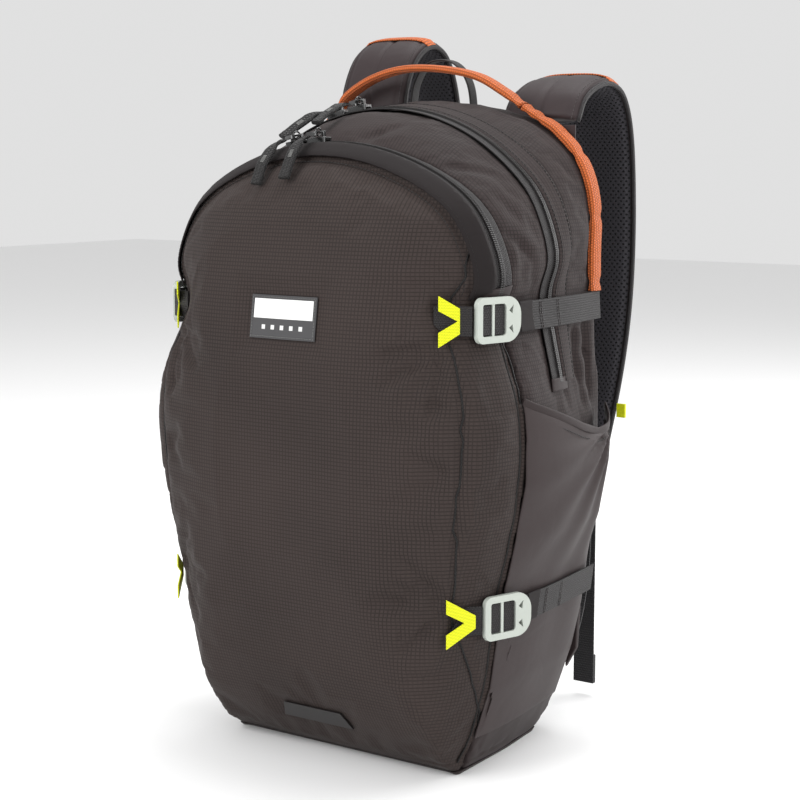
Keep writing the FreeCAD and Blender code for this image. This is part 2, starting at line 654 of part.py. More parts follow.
def webbing_tail(side):
    """The free end of the adjusting webbing, with a folded end so that it can't slip out of the lock."""
    top = V(side * STRAP_CENTRE_X, LOCK_TOP.y + 2.6, LOCK_TOP.z - 19.6)
    half = TAIL_WIDTH / 2
    length = top.z - TAIL_FOOT_Z
    tail = slab(-half, half, 0, TAIL_THICK, -length, 0)
    fold = slab(-half, half, TAIL_THICK - 0.1, 3 * TAIL_THICK, -length, -length + 26)
    whole = tail.fuse(fold)
    whole.translate(top)
    return whole


# The adjusting webbing's middle line from the ladder lock to its anchor at the foot of the back panel.
ADJUSTER_LINE = ((86, 182.2, 212), (90, 176, 178), (98, 160, 130), (107, 134, 94), (114, 112, 80))
ANCHOR_FOOT_Z = 58.0
ANCHOR_TOP_Z = 92.0


def adjuster_webbing(side):
    """The webbing from the lower anchor up to the ladder lock."""
    line = Part.BSplineCurve()
    line.interpolate(Points=[V(*p) for p in ADJUSTER_LINE])
    half = TAIL_WIDTH / 2
    count = 8
    profiles = []
    for i in range(count + 1):
        t = line.FirstParameter + (line.LastParameter - line.FirstParameter) * i / count
        middle = line.value(t)
        along = line.tangent(t)[0]
        across = V(1, 0, 0) - along * along.x
        across.normalize()
        up = along.cross(across) * (TAIL_THICK / 2)
        a, b = middle + across * half, middle - across * half
        profiles.append(Part.makePolygon([a + up, a - up, b - up, b + up, a + up]))
    shape = Part.makeLoft(profiles, True, False)
    return shape if side > 0 else mirrored(shape)


def strap_anchor(side):
    """The reinforced wing at the foot of the back that the adjusting webbing is sewn to."""
    y = BACK_Y + 0.4
    outline = [V(121.0, y, ANCHOR_FOOT_Z - 4), V(131, y, ANCHOR_FOOT_Z + 14), V(133, y, ANCHOR_TOP_Z + 16),
               V(121.0, y, ANCHOR_TOP_Z + 26)]
    wing = Part.Face(Part.makePolygon(outline + [outline[0]])).extrude(V(0, 5.0, 0))
    return wing if side > 0 else mirrored(wing)


save("main_compartment", main_compartment())
save("front_pocket", front_pocket())
save("base_panel", base_panel())
save("back_panel", back_panel())
save("frame_sheet", frame_sheet())
save("laptop_sleeve", laptop_sleeve())
pocket = side_pocket()
save("side_pocket_right", pocket)
save("side_pocket_left", mirrored(pocket))
save("front_zip", zip_tape(FRONT_ZIP_Y, FRONT_ZIP_END))
save("main_zip", zip_tape(MAIN_ZIP_Y, MAIN_ZIP_END))
save("front_zip_flap", zip_flap(-82.0, FRONT_ZIP_Y - SLIDER_HALF - 0.5, FRONT_ZIP_END))
save("main_zip_flap", zip_flap(MAIN_ZIP_Y + SLIDER_HALF + 0.5, 41.0, MAIN_ZIP_END))
for level in LEVELS:
    save(f"{level}_buckle_right", buckle(level))
    save(f"{level}_buckle_left", mirrored(buckle(level)))
    save(f"{level}_buckle_webbing_right", buckle_webbing(level))
    save(f"{level}_buckle_webbing_left", mirrored(buckle_webbing(level)))
PER_LEVEL = (
    ("seam_webbing", front_webbing),
    ("compression_webbing", rear_webbing),
    ("gear_loops", gear_loop),
)
for piece, make in PER_LEVEL:
    pair = Part.makeCompound([make(level) for level in LEVELS])
    save(piece + "_right", pair)
    save(piece + "_left", mirrored(pair))
save("haul_handle", haul_handle())
save("handle_webbing_right", handle_webbing(1))
save("handle_webbing_left", handle_webbing(-1))
save("hang_loop", hang_loop())
save("strap_yoke", strap_yoke())
save("label", label())
save("light_tab", light_tab())
for side, word in ((1, "right"), (-1, "left")):
    save(f"strap_pad_{word}", strap_pad(side))
    save(f"strap_mesh_{word}", strap_mesh(side))
    save(f"strap_band_{word}", strap_band(side))
    save(f"strap_tab_{word}", strap_tab(side))
    save(f"strap_tongue_{word}", strap_tongue(side))
    save(f"ladder_lock_{word}", ladder_lock(side))
    save(f"webbing_tail_{word}", webbing_tail(side))
    save(f"adjuster_webbing_{word}", adjuster_webbing(side))
    save(f"strap_anchor_{word}", strap_anchor(side))
for name in SLIDERS:
    save(f"{name}_slider", placed_slider(name))
    save(f"{name}_pull", pull(name))
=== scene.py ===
import math

import bmesh
import bpy
from mathutils import Matrix, Vector, noise
from mathutils.bvhtree import BVHTree
from mathutils.kdtree import KDTree


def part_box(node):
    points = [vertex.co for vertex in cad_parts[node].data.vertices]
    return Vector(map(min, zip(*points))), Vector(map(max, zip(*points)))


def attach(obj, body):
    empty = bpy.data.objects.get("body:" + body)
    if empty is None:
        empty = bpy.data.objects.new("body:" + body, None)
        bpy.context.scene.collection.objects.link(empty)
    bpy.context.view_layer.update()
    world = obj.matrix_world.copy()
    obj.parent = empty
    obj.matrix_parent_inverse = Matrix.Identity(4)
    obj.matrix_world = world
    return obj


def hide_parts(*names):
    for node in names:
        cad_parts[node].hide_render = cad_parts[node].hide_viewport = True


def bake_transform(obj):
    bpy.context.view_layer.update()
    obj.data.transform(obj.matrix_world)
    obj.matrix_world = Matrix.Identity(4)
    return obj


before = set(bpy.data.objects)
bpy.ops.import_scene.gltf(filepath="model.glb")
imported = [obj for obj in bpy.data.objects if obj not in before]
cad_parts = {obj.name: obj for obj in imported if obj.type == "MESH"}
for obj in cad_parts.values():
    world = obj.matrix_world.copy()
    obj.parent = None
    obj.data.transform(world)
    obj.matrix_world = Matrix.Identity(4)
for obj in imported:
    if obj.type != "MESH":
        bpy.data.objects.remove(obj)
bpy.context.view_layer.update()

# A hiking daypack: padded shells, sewn webbing, zips, moulded buckles and quilted shoulder straps, in metres.
# +Z is up, -Y is the front pocket's side, +Y is the wearer's back.

SIDES = (("right", 1), ("left", -1))
ZIP_SLIDERS = ("front_left", "front_right", "main_left", "main_right")

# ---- places that follow from the CAD frame ---------------------------------------------------------------
FRONT_ZIP_Y = sum(c[1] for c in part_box("front_zip")) / 2
MAIN_ZIP_Y = sum(c[1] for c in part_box("main_zip")) / 2
SPLIT_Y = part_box("front_pocket")[1][1]
BACK_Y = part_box("main_compartment")[1][1]
FRONT_FLAP = (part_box("front_zip_flap")[0][1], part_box("front_zip_flap")[1][1])
MAIN_FLAP = (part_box("main_zip_flap")[0][1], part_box("main_zip_flap")[1][1])
FRONT_ZIP_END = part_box("front_zip")[0][2]
MAIN_ZIP_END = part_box("main_zip")[0][2]
ARCH_CENTRE_Z = 0.31
STRAP_HEIGHTS = (0.362, 0.136)
PATCHES = (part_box("label"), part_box("light_tab"))


def middle(node):
    low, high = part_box(node)
    return Vector([(a + b) / 2 for a, b in zip(low, high)])


# ---- materials -------------------------------------------------------------------------------------------
def link(tree, a, b):
    tree.links.new(a, b)


def new_group(name, inputs, outputs):
    """A node group with float inputs (name, default) and outputs (name, socket type)."""
    tree = bpy.data.node_groups.new(name, "ShaderNodeTree")
    for label, value in inputs:
        tree.interface.new_socket(label, in_out="INPUT", socket_type="NodeSocketFloat").default_value = value
    for label, kind in outputs:
        tree.interface.new_socket(label, in_out="OUTPUT", socket_type=kind)
    return tree, tree.nodes.new("NodeGroupInput"), tree.nodes.new("NodeGroupOutput")


def math_node(tree, operation, a, b=None, c=None):
    node = tree.nodes.new("ShaderNodeMath")
    node.operation = operation
    for socket, value in zip(node.inputs, (a, b, c)):
        if value is None:
            continue
        if isinstance(value, (int, float)):
            socket.default_value = value
        else:
            tree.links.new(value, socket)
    return node.outputs[0]


def plus(tree, a, b):
    return math_node(tree, "ADD", a, b)


def minus(tree, a, b):
    return math_node(tree, "SUBTRACT", a, b)


def times(tree, a, b):
    return math_node(tree, "MULTIPLY", a, b)


def unsigned(tree, a):
    return math_node(tree, "ABSOLUTE", a)


def noise_node(tree, vector, scale, detail=3.0, rough=0.55):
    node = tree.nodes.new("ShaderNodeTexNoise")
    node.inputs["Scale"].default_value = scale
    node.inputs["Detail"].default_value = detail
    node.inputs["Roughness"].default_value = rough
    tree.links.new(vector, node.inputs["Vector"])
    return node.outputs["Fac"]


def thread_lines(tree, coordinate, pitch, width):
    """1 on thin evenly spaced lines across a coordinate, 0 between them."""
    cell = math_node(tree, "FRACT", math_node(tree, "DIVIDE", coordinate, pitch))
    edge = unsigned(tree, minus(tree, cell, 0.5))
    soft = times(tree, minus(tree, edge, minus(tree, 0.5, width)), 9.0)
    return math_node(tree, "MINIMUM", math_node(tree, "MAXIMUM", soft, 0.0), 1.0)


def ripstop_group():
    """Grid of thicker threads on a woven fabric, laid square to the axis that each patch faces."""
    tree, given, out = new_group("ripstop_grid", (("Pitch", 0.003), ("Line", 0.21)),
                                 (("Grid", "NodeSocketFloat"), ("Height", "NodeSocketFloat")))
    coords = tree.nodes.new("ShaderNodeTexCoord")
    place = tree.nodes.new("ShaderNodeSeparateXYZ")
    facing = tree.nodes.new("ShaderNodeSeparateXYZ")
    link(tree, coords.outputs["Object"], place.inputs[0])
    link(tree, coords.outputs["Normal"], facing.inputs[0])
    total = None
    weave = None
    for axis in range(3):
        away = minus(tree, 1.0, unsigned(tree, facing.outputs[axis]))
        weight = math_node(tree, "MINIMUM", times(tree, math_node(tree, "POWER", away, 2.0), 3.0), 1.0)
        lines = times(tree, thread_lines(tree, place.outputs[axis], given.outputs["Pitch"],
                                                         given.outputs["Line"]), weight)
        fine = math_node(tree, "SINE", times(tree, place.outputs[axis], 2 * math.pi / 0.00055))
        fine = times(tree, fine, weight)
        total = lines if total is None else math_node(tree, "MAXIMUM", total, lines)
        weave = fine if weave is None else plus(tree, weave, fine)
    height = plus(tree, times(tree, weave, 0.16), total)
    link(tree, total, out.inputs["Grid"])
    link(tree, height, out.inputs["Height"])
    return tree


def webbing_group():
    """Woven webbing on a UV map in metres: diagonal ribs along it, picks across it, and painted shade in its
    grooves.
    """
    tree, given, out = new_group("webbing_weave", (("Rib", 0.0016), ("Pick", 0.0011)),
                                 (("Height", "NodeSocketFloat"), ("Shade", "NodeSocketFloat")))
    coords = tree.nodes.new("ShaderNodeTexCoord")
    split = tree.nodes.new("ShaderNodeSeparateXYZ")
    link(tree, coords.outputs["UV"], split.inputs[0])
    along = math_node(tree, "DIVIDE", split.outputs[0], given.outputs["Pick"])
    across = math_node(tree, "DIVIDE", split.outputs[1], given.outputs["Rib"])
    row = math_node(tree, "FLOOR", across)
    shift = plus(tree, along, times(tree, row, 0.5))
    pick = math_node(tree, "SINE", times(tree, shift, 2 * math.pi))
    rib = math_node(tree, "SINE", times(tree, math_node(tree, "FRACT", across), math.pi))
    height = times(tree, rib, plus(tree, times(tree, pick, 0.35), 0.65))
    # Painted shade: the colour is darker where the weave lies low.
    shade = plus(tree, times(tree, height, 0.85), 0.15)
    link(tree, height, out.inputs["Height"])
    link(tree, shade, out.inputs["Shade"])
    return tree


def mesh_group():
    """Open spacer mesh: round holes in staggered rows on a UV map in metres, whose Hole mask places painted
    shade.
    """
    tree, given, out = new_group("spacer_mesh", (("Pitch", 0.0046),),
                                 (("Hole", "NodeSocketFloat"), ("Height", "NodeSocketFloat")))
    coords = tree.nodes.new("ShaderNodeTexCoord")
    split = tree.nodes.new("ShaderNodeSeparateXYZ")
    link(tree, coords.outputs["UV"], split.inputs[0])
    row = math_node(tree, "DIVIDE", split.outputs[0], times(tree, given.outputs["Pitch"], 0.62))
    index = math_node(tree, "FLOOR", row)
    column = plus(tree, math_node(tree, "DIVIDE", split.outputs[1], given.outputs["Pitch"]),
                       times(tree, index, 0.5))
    dx = times(tree, minus(tree, math_node(tree, "FRACT", column), 0.5), 1.45)
    dy = minus(tree, math_node(tree, "FRACT", row), 0.5)
    distance = math_node(tree, "SQRT", plus(tree, times(tree, dx, dx),
                                                 times(tree, dy, dy)))
    hole = minus(tree, 1.0, times(tree, minus(tree, distance, 0.22), 6.0))
    hole = math_node(tree, "MINIMUM", math_node(tree, "MAXIMUM", hole, 0.0), 1.0)
    link(tree, hole, out.inputs["Hole"])
    link(tree, minus(tree, 1.0, hole), out.inputs["Height"])
    return tree


def soft_wrinkle_group():
    """Broad soft wrinkles of a lined fabric that has been handled."""
    tree, given, out = new_group("soft_wrinkles", (("Scale", 14.0), ("Stretch", 2.4)),
                                 (("Height", "NodeSocketFloat"), ("Tone", "NodeSocketFloat")))
    coords = tree.nodes.new("ShaderNodeTexCoord")
    scaled = tree.nodes.new("ShaderNodeVectorMath")
    scaled.operation = "MULTIPLY"
    scaled.inputs[1].default_value = (1.0, 1.0, 2.1)
    link(tree, coords.outputs["Object"], scaled.inputs[0])
    broad = tree.nodes.new("ShaderNodeTexNoise")
    broad.inputs["Detail"].default_value = 2.5
    broad.inputs["Distortion"].default_value = 0.6
    link(tree, scaled.outputs[0], broad.inputs["Vector"])
    link(tree, given.outputs["Scale"], broad.inputs["Scale"])
    ridge = unsigned(tree, minus(tree, broad.outputs["Fac"], 0.5))
    link(tree, times(tree, ridge, given.outputs["Stretch"]), out.inputs["Height"])
    tone = noise_node(tree, coords.outputs["Object"], 9.0, 2.0)
    link(tree, tone, out.inputs["Tone"])
    return tree


RIPSTOP = ripstop_group()
WEBBING = webbing_group()
SPACER = mesh_group()
WRINKLES = soft_wrinkle_group()


def material(name, colour, roughness, metallic=0.0, sheen=0.0, coat=0.0, specular=0.5):
    made = bpy.data.materials.new(name)
    made.use_nodes = True
    shader = made.node_tree.nodes["Principled BSDF"]
    shader.inputs["Base Color"].default_value = (*colour, 1)
    shader.inputs["Roughness"].default_value = roughness
    shader.inputs["Metallic"].default_value = metallic
    shader.inputs["Sheen Weight"].default_value = sheen
    shader.inputs["Sheen Roughness"].default_value = 0.45
    shader.inputs["Coat Weight"].default_value = coat
    shader.inputs["Specular IOR Level"].default_value = specular
    return made


def shader_of(made):
    return made.node_tree.nodes["Principled BSDF"]


def group_node(made, tree, **values):
    node = made.node_tree.nodes.new("ShaderNodeGroup")
    node.node_tree = tree
    for label, value in values.items():
        node.inputs[label].default_value = value
    return node


def mix_colours(made, factor, low, high):
    """Feeds Base Color with a colour between low and high."""
    mix = made.node_tree.nodes.new("ShaderNodeMix")
    mix.data_type = "RGBA"
    link(made.node_tree, factor, mix.inputs[0])
    mix.inputs[6].default_value = (*low, 1)
    mix.inputs[7].default_value = (*high, 1)
    link(made.node_tree, mix.outputs[2], shader_of(made).inputs["Base Color"])
    return mix


def bump(made, height, distance, strength=1.0, under=None):
    node = made.node_tree.nodes.new("ShaderNodeBump")
    node.inputs["Distance"].default_value = distance
    node.inputs["Strength"].default_value = strength
    link(made.node_tree, height, node.inputs["Height"])
    if under is not None:
        link(made.node_tree, under, node.inputs["Normal"])
    link(made.node_tree, node.outputs[0], shader_of(made).inputs["Normal"])
    return node.outputs[0]


def scaled(colour, by):
    return tuple(c * by for c in colour)


def ripstop_fabric(name, colour, pitch=0.0029, wrinkle=0.0014):
    made = material(name, colour, 0.68, sheen=0.02, specular=0.16)
    grid = group_node(made, RIPSTOP, Pitch=pitch)
    folds = group_node(made, WRINKLES)
    shade = plus(made.node_tree, times(made.node_tree, grid.outputs["Grid"], -0.55),
                      times(made.node_tree, folds.outputs["Tone"], 0.5))
    mix_colours(made, plus(made.node_tree, shade, 0.5), scaled(colour, 0.46), scaled(colour, 1.48))
    under = bump(made, folds.outputs["Height"], wrinkle)
    bump(made, grid.outputs["Height"], 0.00016, 0.7, under)
    return made


def smooth_fabric(name, colour, wrinkle=0.0014, rough=0.6, sheen=0.02, scale=14.0):
    made = material(name, colour, rough, sheen=sheen, specular=0.18)
    folds = group_node(made, WRINKLES, Scale=scale)
    mix_colours(made, folds.outputs["Tone"], scaled(colour, 0.8), scaled(colour, 1.22))
    coords = made.node_tree.nodes.new("ShaderNodeTexCoord")
    twill = made.node_tree.nodes.new("ShaderNodeTexWave")
    twill.inputs["Scale"].default_value = 520.0
    twill.bands_direction = "DIAGONAL"
    link(made.node_tree, coords.outputs["Object"], twill.inputs["Vector"])
    under = bump(made, folds.outputs["Height"], wrinkle)
    bump(made, twill.outputs["Fac"], 0.00006, 0.6, under)
    return made


def webbing_material(name, colour, rib=0.0016, pick=0.0011, depth=0.0004, rough=0.6, sheen=0.03):
    made = material(name, colour, rough, sheen=sheen, specular=0.3)
    weave = group_node(made, WEBBING, Rib=rib, Pick=pick)
    # Painted shade: the webbing's colour is darker in the weave's grooves than on its ribs.
    mix_colours(made, weave.outputs["Shade"], scaled(colour, 0.30), scaled(colour, 1.30))
    bump(made, weave.outputs["Height"], depth)
    return made


def mesh_material(name, thread, hole, pitch=0.0046):
    made = material(name, thread, 0.75, sheen=0.03, specular=0.25)
    holes = group_node(made, SPACER, Pitch=pitch)
    # Painted shade: the holes are coloured near-black for the shade inside them.
    mix_colours(made, holes.outputs["Hole"], thread, hole)
    bump(made, holes.outputs["Height"], 0.0010)
    return made


def moulded(name, colour, rough, grain=0.00004, coat=0.0):
    made = material(name, colour, rough, coat=coat)
    coords = made.node_tree.nodes.new("ShaderNodeTexCoord")
    spots = noise_node(made.node_tree, coords.outputs["Object"], 900.0, 2.0)
    tone = noise_node(made.node_tree, coords.outputs["Object"], 60.0, 2.0)
    mix_colours(made, tone, scaled(colour, 0.92), scaled(colour, 1.07))
    bump(made, spots, grain)
    return made


def label_material(low, high):
    """A pale field over a dark band with a row of small squares, inside a dark border."""
    made = material("label_weave", (0.3, 0.3, 0.3), 0.6, sheen=0.1)
    tree = made.node_tree
    coords = tree.nodes.new("ShaderNodeTexCoord")
    split = tree.nodes.new("ShaderNodeSeparateXYZ")
    link(tree, coords.outputs["Object"], split.inputs[0])
    x = split.outputs[0]
    z = split.outputs[2]
    wide = high[0] - low[0]
    tall = high[2] - low[2]
    side = math_node(tree, "LESS_THAN", unsigned(tree, x), wide / 2 - 0.0030)
    above = math_node(tree, "GREATER_THAN", z, low[2] + tall * 0.47)
    below = math_node(tree, "LESS_THAN", z, high[2] - 0.0028)
    field = times(tree, side, times(tree, above, below))
    dots = None
    for place in (-0.018, -0.009, 0.0, 0.009, 0.018):
        near = math_node(tree, "LESS_THAN", unsigned(tree, minus(tree, x, place)), 0.0017)
        dots = near if dots is None else math_node(tree, "MAXIMUM", dots, near)
    row = math_node(tree, "LESS_THAN", unsigned(tree, minus(tree, z, low[2] + tall * 0.27)),
                    0.0017)
    mark = times(tree, dots, row)
    light = math_node(tree, "MAXIMUM", field, times(tree, mark, 0.8))
    mix_colours(made, light, (0.035, 0.034, 0.036), (0.80, 0.80, 0.79))
    threads = tree.nodes.new("ShaderNodeTexWave")
    threads.inputs["Scale"].default_value = 620.0
    threads.bands_direction = "Z"
    link(tree, coords.outputs["Object"], threads.inputs["Vector"])
    bump(made, threads.outputs["Fac"], 0.00008)
    return made


CHARCOAL = (0.0300, 0.0218, 0.0198)
MATERIALS = {
    "front_fabric": ripstop_fabric("front_fabric", CHARCOAL, wrinkle=0.0005),
    "gusset_fabric": ripstop_fabric("gusset_fabric", (0.0262, 0.0190, 0.0186), wrinkle=0.0007),
    "stretch_fabric": smooth_fabric("stretch_fabric", (0.0300, 0.0215, 0.0215), 0.0004, 0.55),
    "strap_fabric": smooth_fabric("strap_fabric", (0.0270, 0.0190, 0.0200), 0.0004, 0.55),
    "base_fabric": smooth_fabric("base_fabric", (0.0220, 0.0150, 0.0150), 0.0004, 0.55),
    "flap_fabric": smooth_fabric("flap_fabric", (0.0100, 0.0072, 0.0074), 0.0003, 0.72, scale=30.0),
    "seam_thread": webbing_material("seam_thread", (0.0060, 0.0050, 0.0050), 0.0012, 0.0028, 0.0003),
    "light_thread": webbing_material("light_thread", (0.050, 0.042, 0.042), 0.0012, 0.0028, 0.0003),
    "tack_thread": webbing_material("tack_thread", (0.16, 0.16, 0.155), 0.0010, 0.0012, 0.0003),
    "orange_webbing": webbing_material("orange_webbing", (0.56, 0.125, 0.026), 0.0026, 0.0022, 0.0011),
    "lime_webbing": webbing_material("lime_webbing", (0.76, 0.80, 0.004), 0.0011, 0.0010, 0.0002),
    "black_webbing": webbing_material("black_webbing", (0.0120, 0.0098, 0.0102), 0.0018, 0.0017, 0.0004),
    "tail_webbing": webbing_material("tail_webbing", (0.0130, 0.0120, 0.0135), 0.0021, 0.0017, 0.0004),
    # The second colour of each spacer mesh is the painted shade in its holes.
    "strap_mesh": mesh_material("strap_mesh", (0.030, 0.028, 0.033), (0.0015, 0.0015, 0.0025)),
    "back_mesh": mesh_material("back_mesh", (0.026, 0.024, 0.027), (0.0020, 0.0020, 0.0025), 0.0036),
    "binding": webbing_material("binding", (0.0180, 0.0155, 0.0165), 0.0014, 0.0012, 0.0003),
    "buckle_plastic": moulded("buckle_plastic", (0.40, 0.43, 0.39), 0.45),
    "slider_gloss": moulded("slider_gloss", (0.008, 0.008, 0.008), 0.22, 0.00001, coat=0.6),
    "pull_rubber": webbing_material("pull_rubber", (0.0090, 0.0080, 0.0080), 0.0016, 0.0028, 0.0008, 0.5),
    "tab_rubber": moulded("tab_rubber", (0.0095, 0.0075, 0.0075), 0.5, 0.00006),
    "frame_plastic": moulded("frame_plastic", (0.03, 0.03, 0.03), 0.5),
    "label_weave": label_material(*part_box("label")),
}


# ---- mesh helpers ----------------------------------------------------------------------------------------
def finished(name, bm, paint, body=None, smooth=True):
    """Turns a bmesh into a piece with its material, riding on its body."""
    mesh = bpy.data.meshes.new(name)
    bm.to_mesh(mesh)
    bm.free()
    piece = bpy.data.objects.new(name, mesh)
    bpy.context.scene.collection.objects.link(piece)
    mesh.materials.append(MATERIALS[paint])
    if smooth:
        mesh.polygons.foreach_set("use_smooth", [True] * len(mesh.polygons))
    if body:
        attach(piece, body)
    return piece


def node_copy(node):
    """A merged copy of a CAD node's mesh."""
    bm = bmesh.new()
    bm.from_mesh(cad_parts[node].data)
    bmesh.ops.remove_doubles(bm, verts=bm.verts, dist=1e-6)
    return bm


def outer_skin(node):
    """The outermost surface of a hollow CAD node."""
    bm = node_copy(node)
    bm.faces.ensure_lookup_table()
    seen = set()
    shells = []
    for face in bm.faces:
        if face in seen:
            continue
        shell = [face]
        seen.add(face)
        for member in shell:
            for edge in member.edges:
                for other in edge.link_faces:
                    if other not in seen:
                        seen.add(other)
                        shell.append(other)
        shells.append(shell)
    reach = [max(v.co.z for f in shell for v in f.verts) for shell in shells]
    keep = set(shells[reach.index(max(reach))])
    bmesh.ops.delete(bm, geom=[f for f in bm.faces if f not in keep], context="FACES")
    return bm


def smooth_path(points, count):
    """Evenly spread points on a smooth curve through a few given points."""
    pts = [Vector(p) for p in points]
    ends = [pts[0] * 2 - pts[1]] + pts + [pts[-1] * 2 - pts[-2]]
    dense = []
    for i in range(len(pts) - 1):
        a, b, c, d = ends[i:i + 4]
        for k in range(16):
            t = k / 16
            dense.append(0.5 * ((2 * b) + (c - a) * t + (2 * a - 5 * b + 4 * c - d) * t * t
                                + (3 * b - a - 3 * c + d) * t ** 3))
    dense.append(pts[-1])
    walked = [0.0]
    for a, b in zip(dense, dense[1:]):
        walked.append(walked[-1] + (b - a).length)
    out = []
    j = 0
    for i in range(count + 1):
        want = walked[-1] * i / count
        while j < len(walked) - 2 and walked[j + 1] < want:
            j += 1
        span = walked[j + 1] - walked[j]
        share = (want - walked[j]) / span if span else 0.0
        out.append(dense[j].lerp(dense[j + 1], share))
    return out


def heading(path, i):
    """The direction of a path at its point i."""
    return (path[min(i + 1, len(path) - 1)] - path[max(i - 1, 0)]).normalized()


def grid_of(rows):
    """A grid of faces through rows of points, and its vertices row by row."""
    along = len(rows) - 1
    across = len(rows[0]) - 1
    bm = bmesh.new()
    bmesh.ops.create_grid(bm, x_segments=along, y_segments=across, size=1.0)
    verts = sorted(bm.verts, key=lambda v: (round(v.co.x, 5), round(v.co.y, 5)))
    for i, row in enumerate(rows):
        for j, point in enumerate(row):
            verts[i * (across + 1) + j].co = point
    return bm, verts


def lay_uv(bm, place):
    """Lays a UV map from each vertex's place on it, in metres."""
    uv = bm.loops.layers.uv.new("UVMap")
    for face in bm.faces:
        for loop in face.loops:
            loop[uv].uv = place[loop.vert]


def close_tube(bm):
    """Joins the long edge of a rolled-up grid and caps its ends."""
    bmesh.ops.remove_doubles(bm, verts=bm.verts, dist=1e-6)
    bmesh.ops.holes_fill(bm, edges=[e for e in bm.edges if e.is_boundary], sides=0)
    bmesh.ops.triangulate(bm, faces=[f for f in bm.faces if len(f.verts) > 4])
    bmesh.ops.recalc_face_normals(bm, faces=bm.faces)


def strip(name, rows, paint, body, thick, lift=0.5):
    """A band of fabric from rows of points, given a wall by Solidify. Its UV map runs in metres."""
    across = len(rows[0]) - 1
    bm, verts = grid_of(rows)
    place = {}
    walked = 0.0
    half = (rows[0][-1] - rows[0][0]).length / 2
    for i, row in enumerate(rows):
        if i:
            walked += (row[across // 2] - rows[i - 1][across // 2]).length
        for j in range(across + 1):
            place[verts[i * (across + 1) + j]] = (walked, (j / across - 0.5) * 2 * half)
    lay_uv(bm, place)
    piece = finished(name, bm, paint, body)
    wall = piece.modifiers.new("wall", "SOLIDIFY")
    wall.thickness = thick
    wall.offset = lift
    edge = piece.modifiers.new("edge", "BEVEL")
    edge.width = thick * 0.3
    edge.segments = 2
    edge.limit_method = "ANGLE"
    return piece


def eased_copy(name, node, paint, body, ease=0.0003):
    """A CAD node's shape with its hard edges rounded over."""
    bm = node_copy(node)
    bmesh.ops.dissolve_limit(bm, angle_limit=math.radians(2), verts=bm.verts, edges=bm.edges)
    sharp = [e for e in bm.edges if len(e.link_faces) == 2 and e.calc_face_angle() > math.radians(35)]
    bmesh.ops.bevel(bm, geom=sharp, offset=ease, offset_type="OFFSET", affect="EDGES", segments=2,
                    profile=0.5, material=-1, clamp_overlap=True)
    bmesh.ops.triangulate(bm, faces=[f for f in bm.faces if len(f.verts) > 4])
    bm.normal_update()
    box_uv(bm)
    piece = finished(name, bm, paint, body)
    weighted = piece.modifiers.new("shading", "WEIGHTED_NORMAL")
    weighted.keep_sharp = True
    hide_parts(node)
    return piece


# ---- the bag's two padded shells -------------------------------------------------------------------------
def remeshed(bm, voxel):
    mesh = bpy.data.meshes.new("work")
    bm.to_mesh(mesh)
    bm.free()
    piece = bpy.data.objects.new("work", mesh)
    bpy.context.scene.collection.objects.link(piece)
    mod = piece.modifiers.new("remesh", "REMESH")
    mod.mode = "VOXEL"
    mod.voxel_size = voxel
    return piece


def applied(piece):
    """Applies the modifiers of a work piece and returns a bmesh of the result."""
    graph = bpy.context.evaluated_depsgraph_get()
    bm = bmesh.new()
    bm.from_mesh(piece.evaluated_get(graph).to_mesh())
    bpy.data.objects.remove(piece)
    return bm


def relaxed(bm):
    """Moves each vertex half of the way to the middle of its neighbours."""
    bmesh.ops.smooth_vert(bm, verts=bm.verts, factor=0.5, use_axis_x=True, use_axis_y=True, use_axis_z=True)


def pressed(bm, held, pressure, growth, cap, frames=18):
    """Lets the fabric swell and wrinkle between its held points, and caps how far any point moves."""
    rest = [v.co.copy() for v in bm.verts]
    mesh = bpy.data.meshes.new("cloth_work")
    bm.to_mesh(mesh)
    piece = bpy.data.objects.new("cloth_work", mesh)
    bpy.context.scene.collection.objects.link(piece)
    group = piece.vertex_groups.new(name="held")
    for i, place in enumerate(rest):
        group.add([i], held(place), "REPLACE")
    mod = piece.modifiers.new("cloth", "CLOTH")
    cloth = mod.settings
    cloth.quality = 5
    cloth.mass = 0.25
    cloth.tension_stiffness = 25
    cloth.compression_stiffness = 25
    cloth.shear_stiffness = 8
    cloth.bending_stiffness = 0.6
    cloth.use_pressure = True
    cloth.uniform_pressure_force = pressure
    cloth.shrink_min = growth
    cloth.vertex_group_mass = "held"
    cloth.effector_weights.gravity = 0
    mod.collision_settings.use_collision = False
    mod.point_cache.frame_end = frames
    for step in range(1, frames + 1):
        bpy.context.scene.frame_set(step)
    graph = bpy.context.evaluated_depsgraph_get()
    moved = piece.evaluated_get(graph).to_mesh()
    for vert, place, now in zip(bm.verts, rest, moved.vertices):
        shift = now.co - place
        if shift.length > cap:
            shift *= cap / shift.length
        vert.co = place + shift
    bpy.data.objects.remove(piece)
    bpy.context.scene.frame_set(1)


def bvh_of(*bms):
    """One tree over several meshes."""
    points = []
    faces = []
    for bm in bms:
        start = len(points)
        bm.verts.index_update()
        points.extend(v.co.copy() for v in bm.verts)
        faces.extend([v.index + start for v in f.verts] for f in bm.faces)
    return BVHTree.FromPolygons(points, faces)


def arch_hit(tree, y, angle):
    """Where the bag's surface meets the plane y, at an angle from straight up, towards +X."""
    way = Vector((math.sin(angle), 0, math.cos(angle)))
    start = Vector((0, y, ARCH_CENTRE_Z)) + way * 0.45
    return tree.ray_cast(start, -way)[:2]


def side_hit(tree, side, y, z):
    """Where the bag's side is at y and z."""
    return tree.ray_cast(Vector((side * 0.5, y, z)), Vector((-side, 0, 0)))[:2]


def front_hit(tree, x, z):
    """Where the bag's front is at x and z."""
    return tree.ray_cast(Vector((x, -0.5, z)), Vector((0, 1, 0)))[:2]


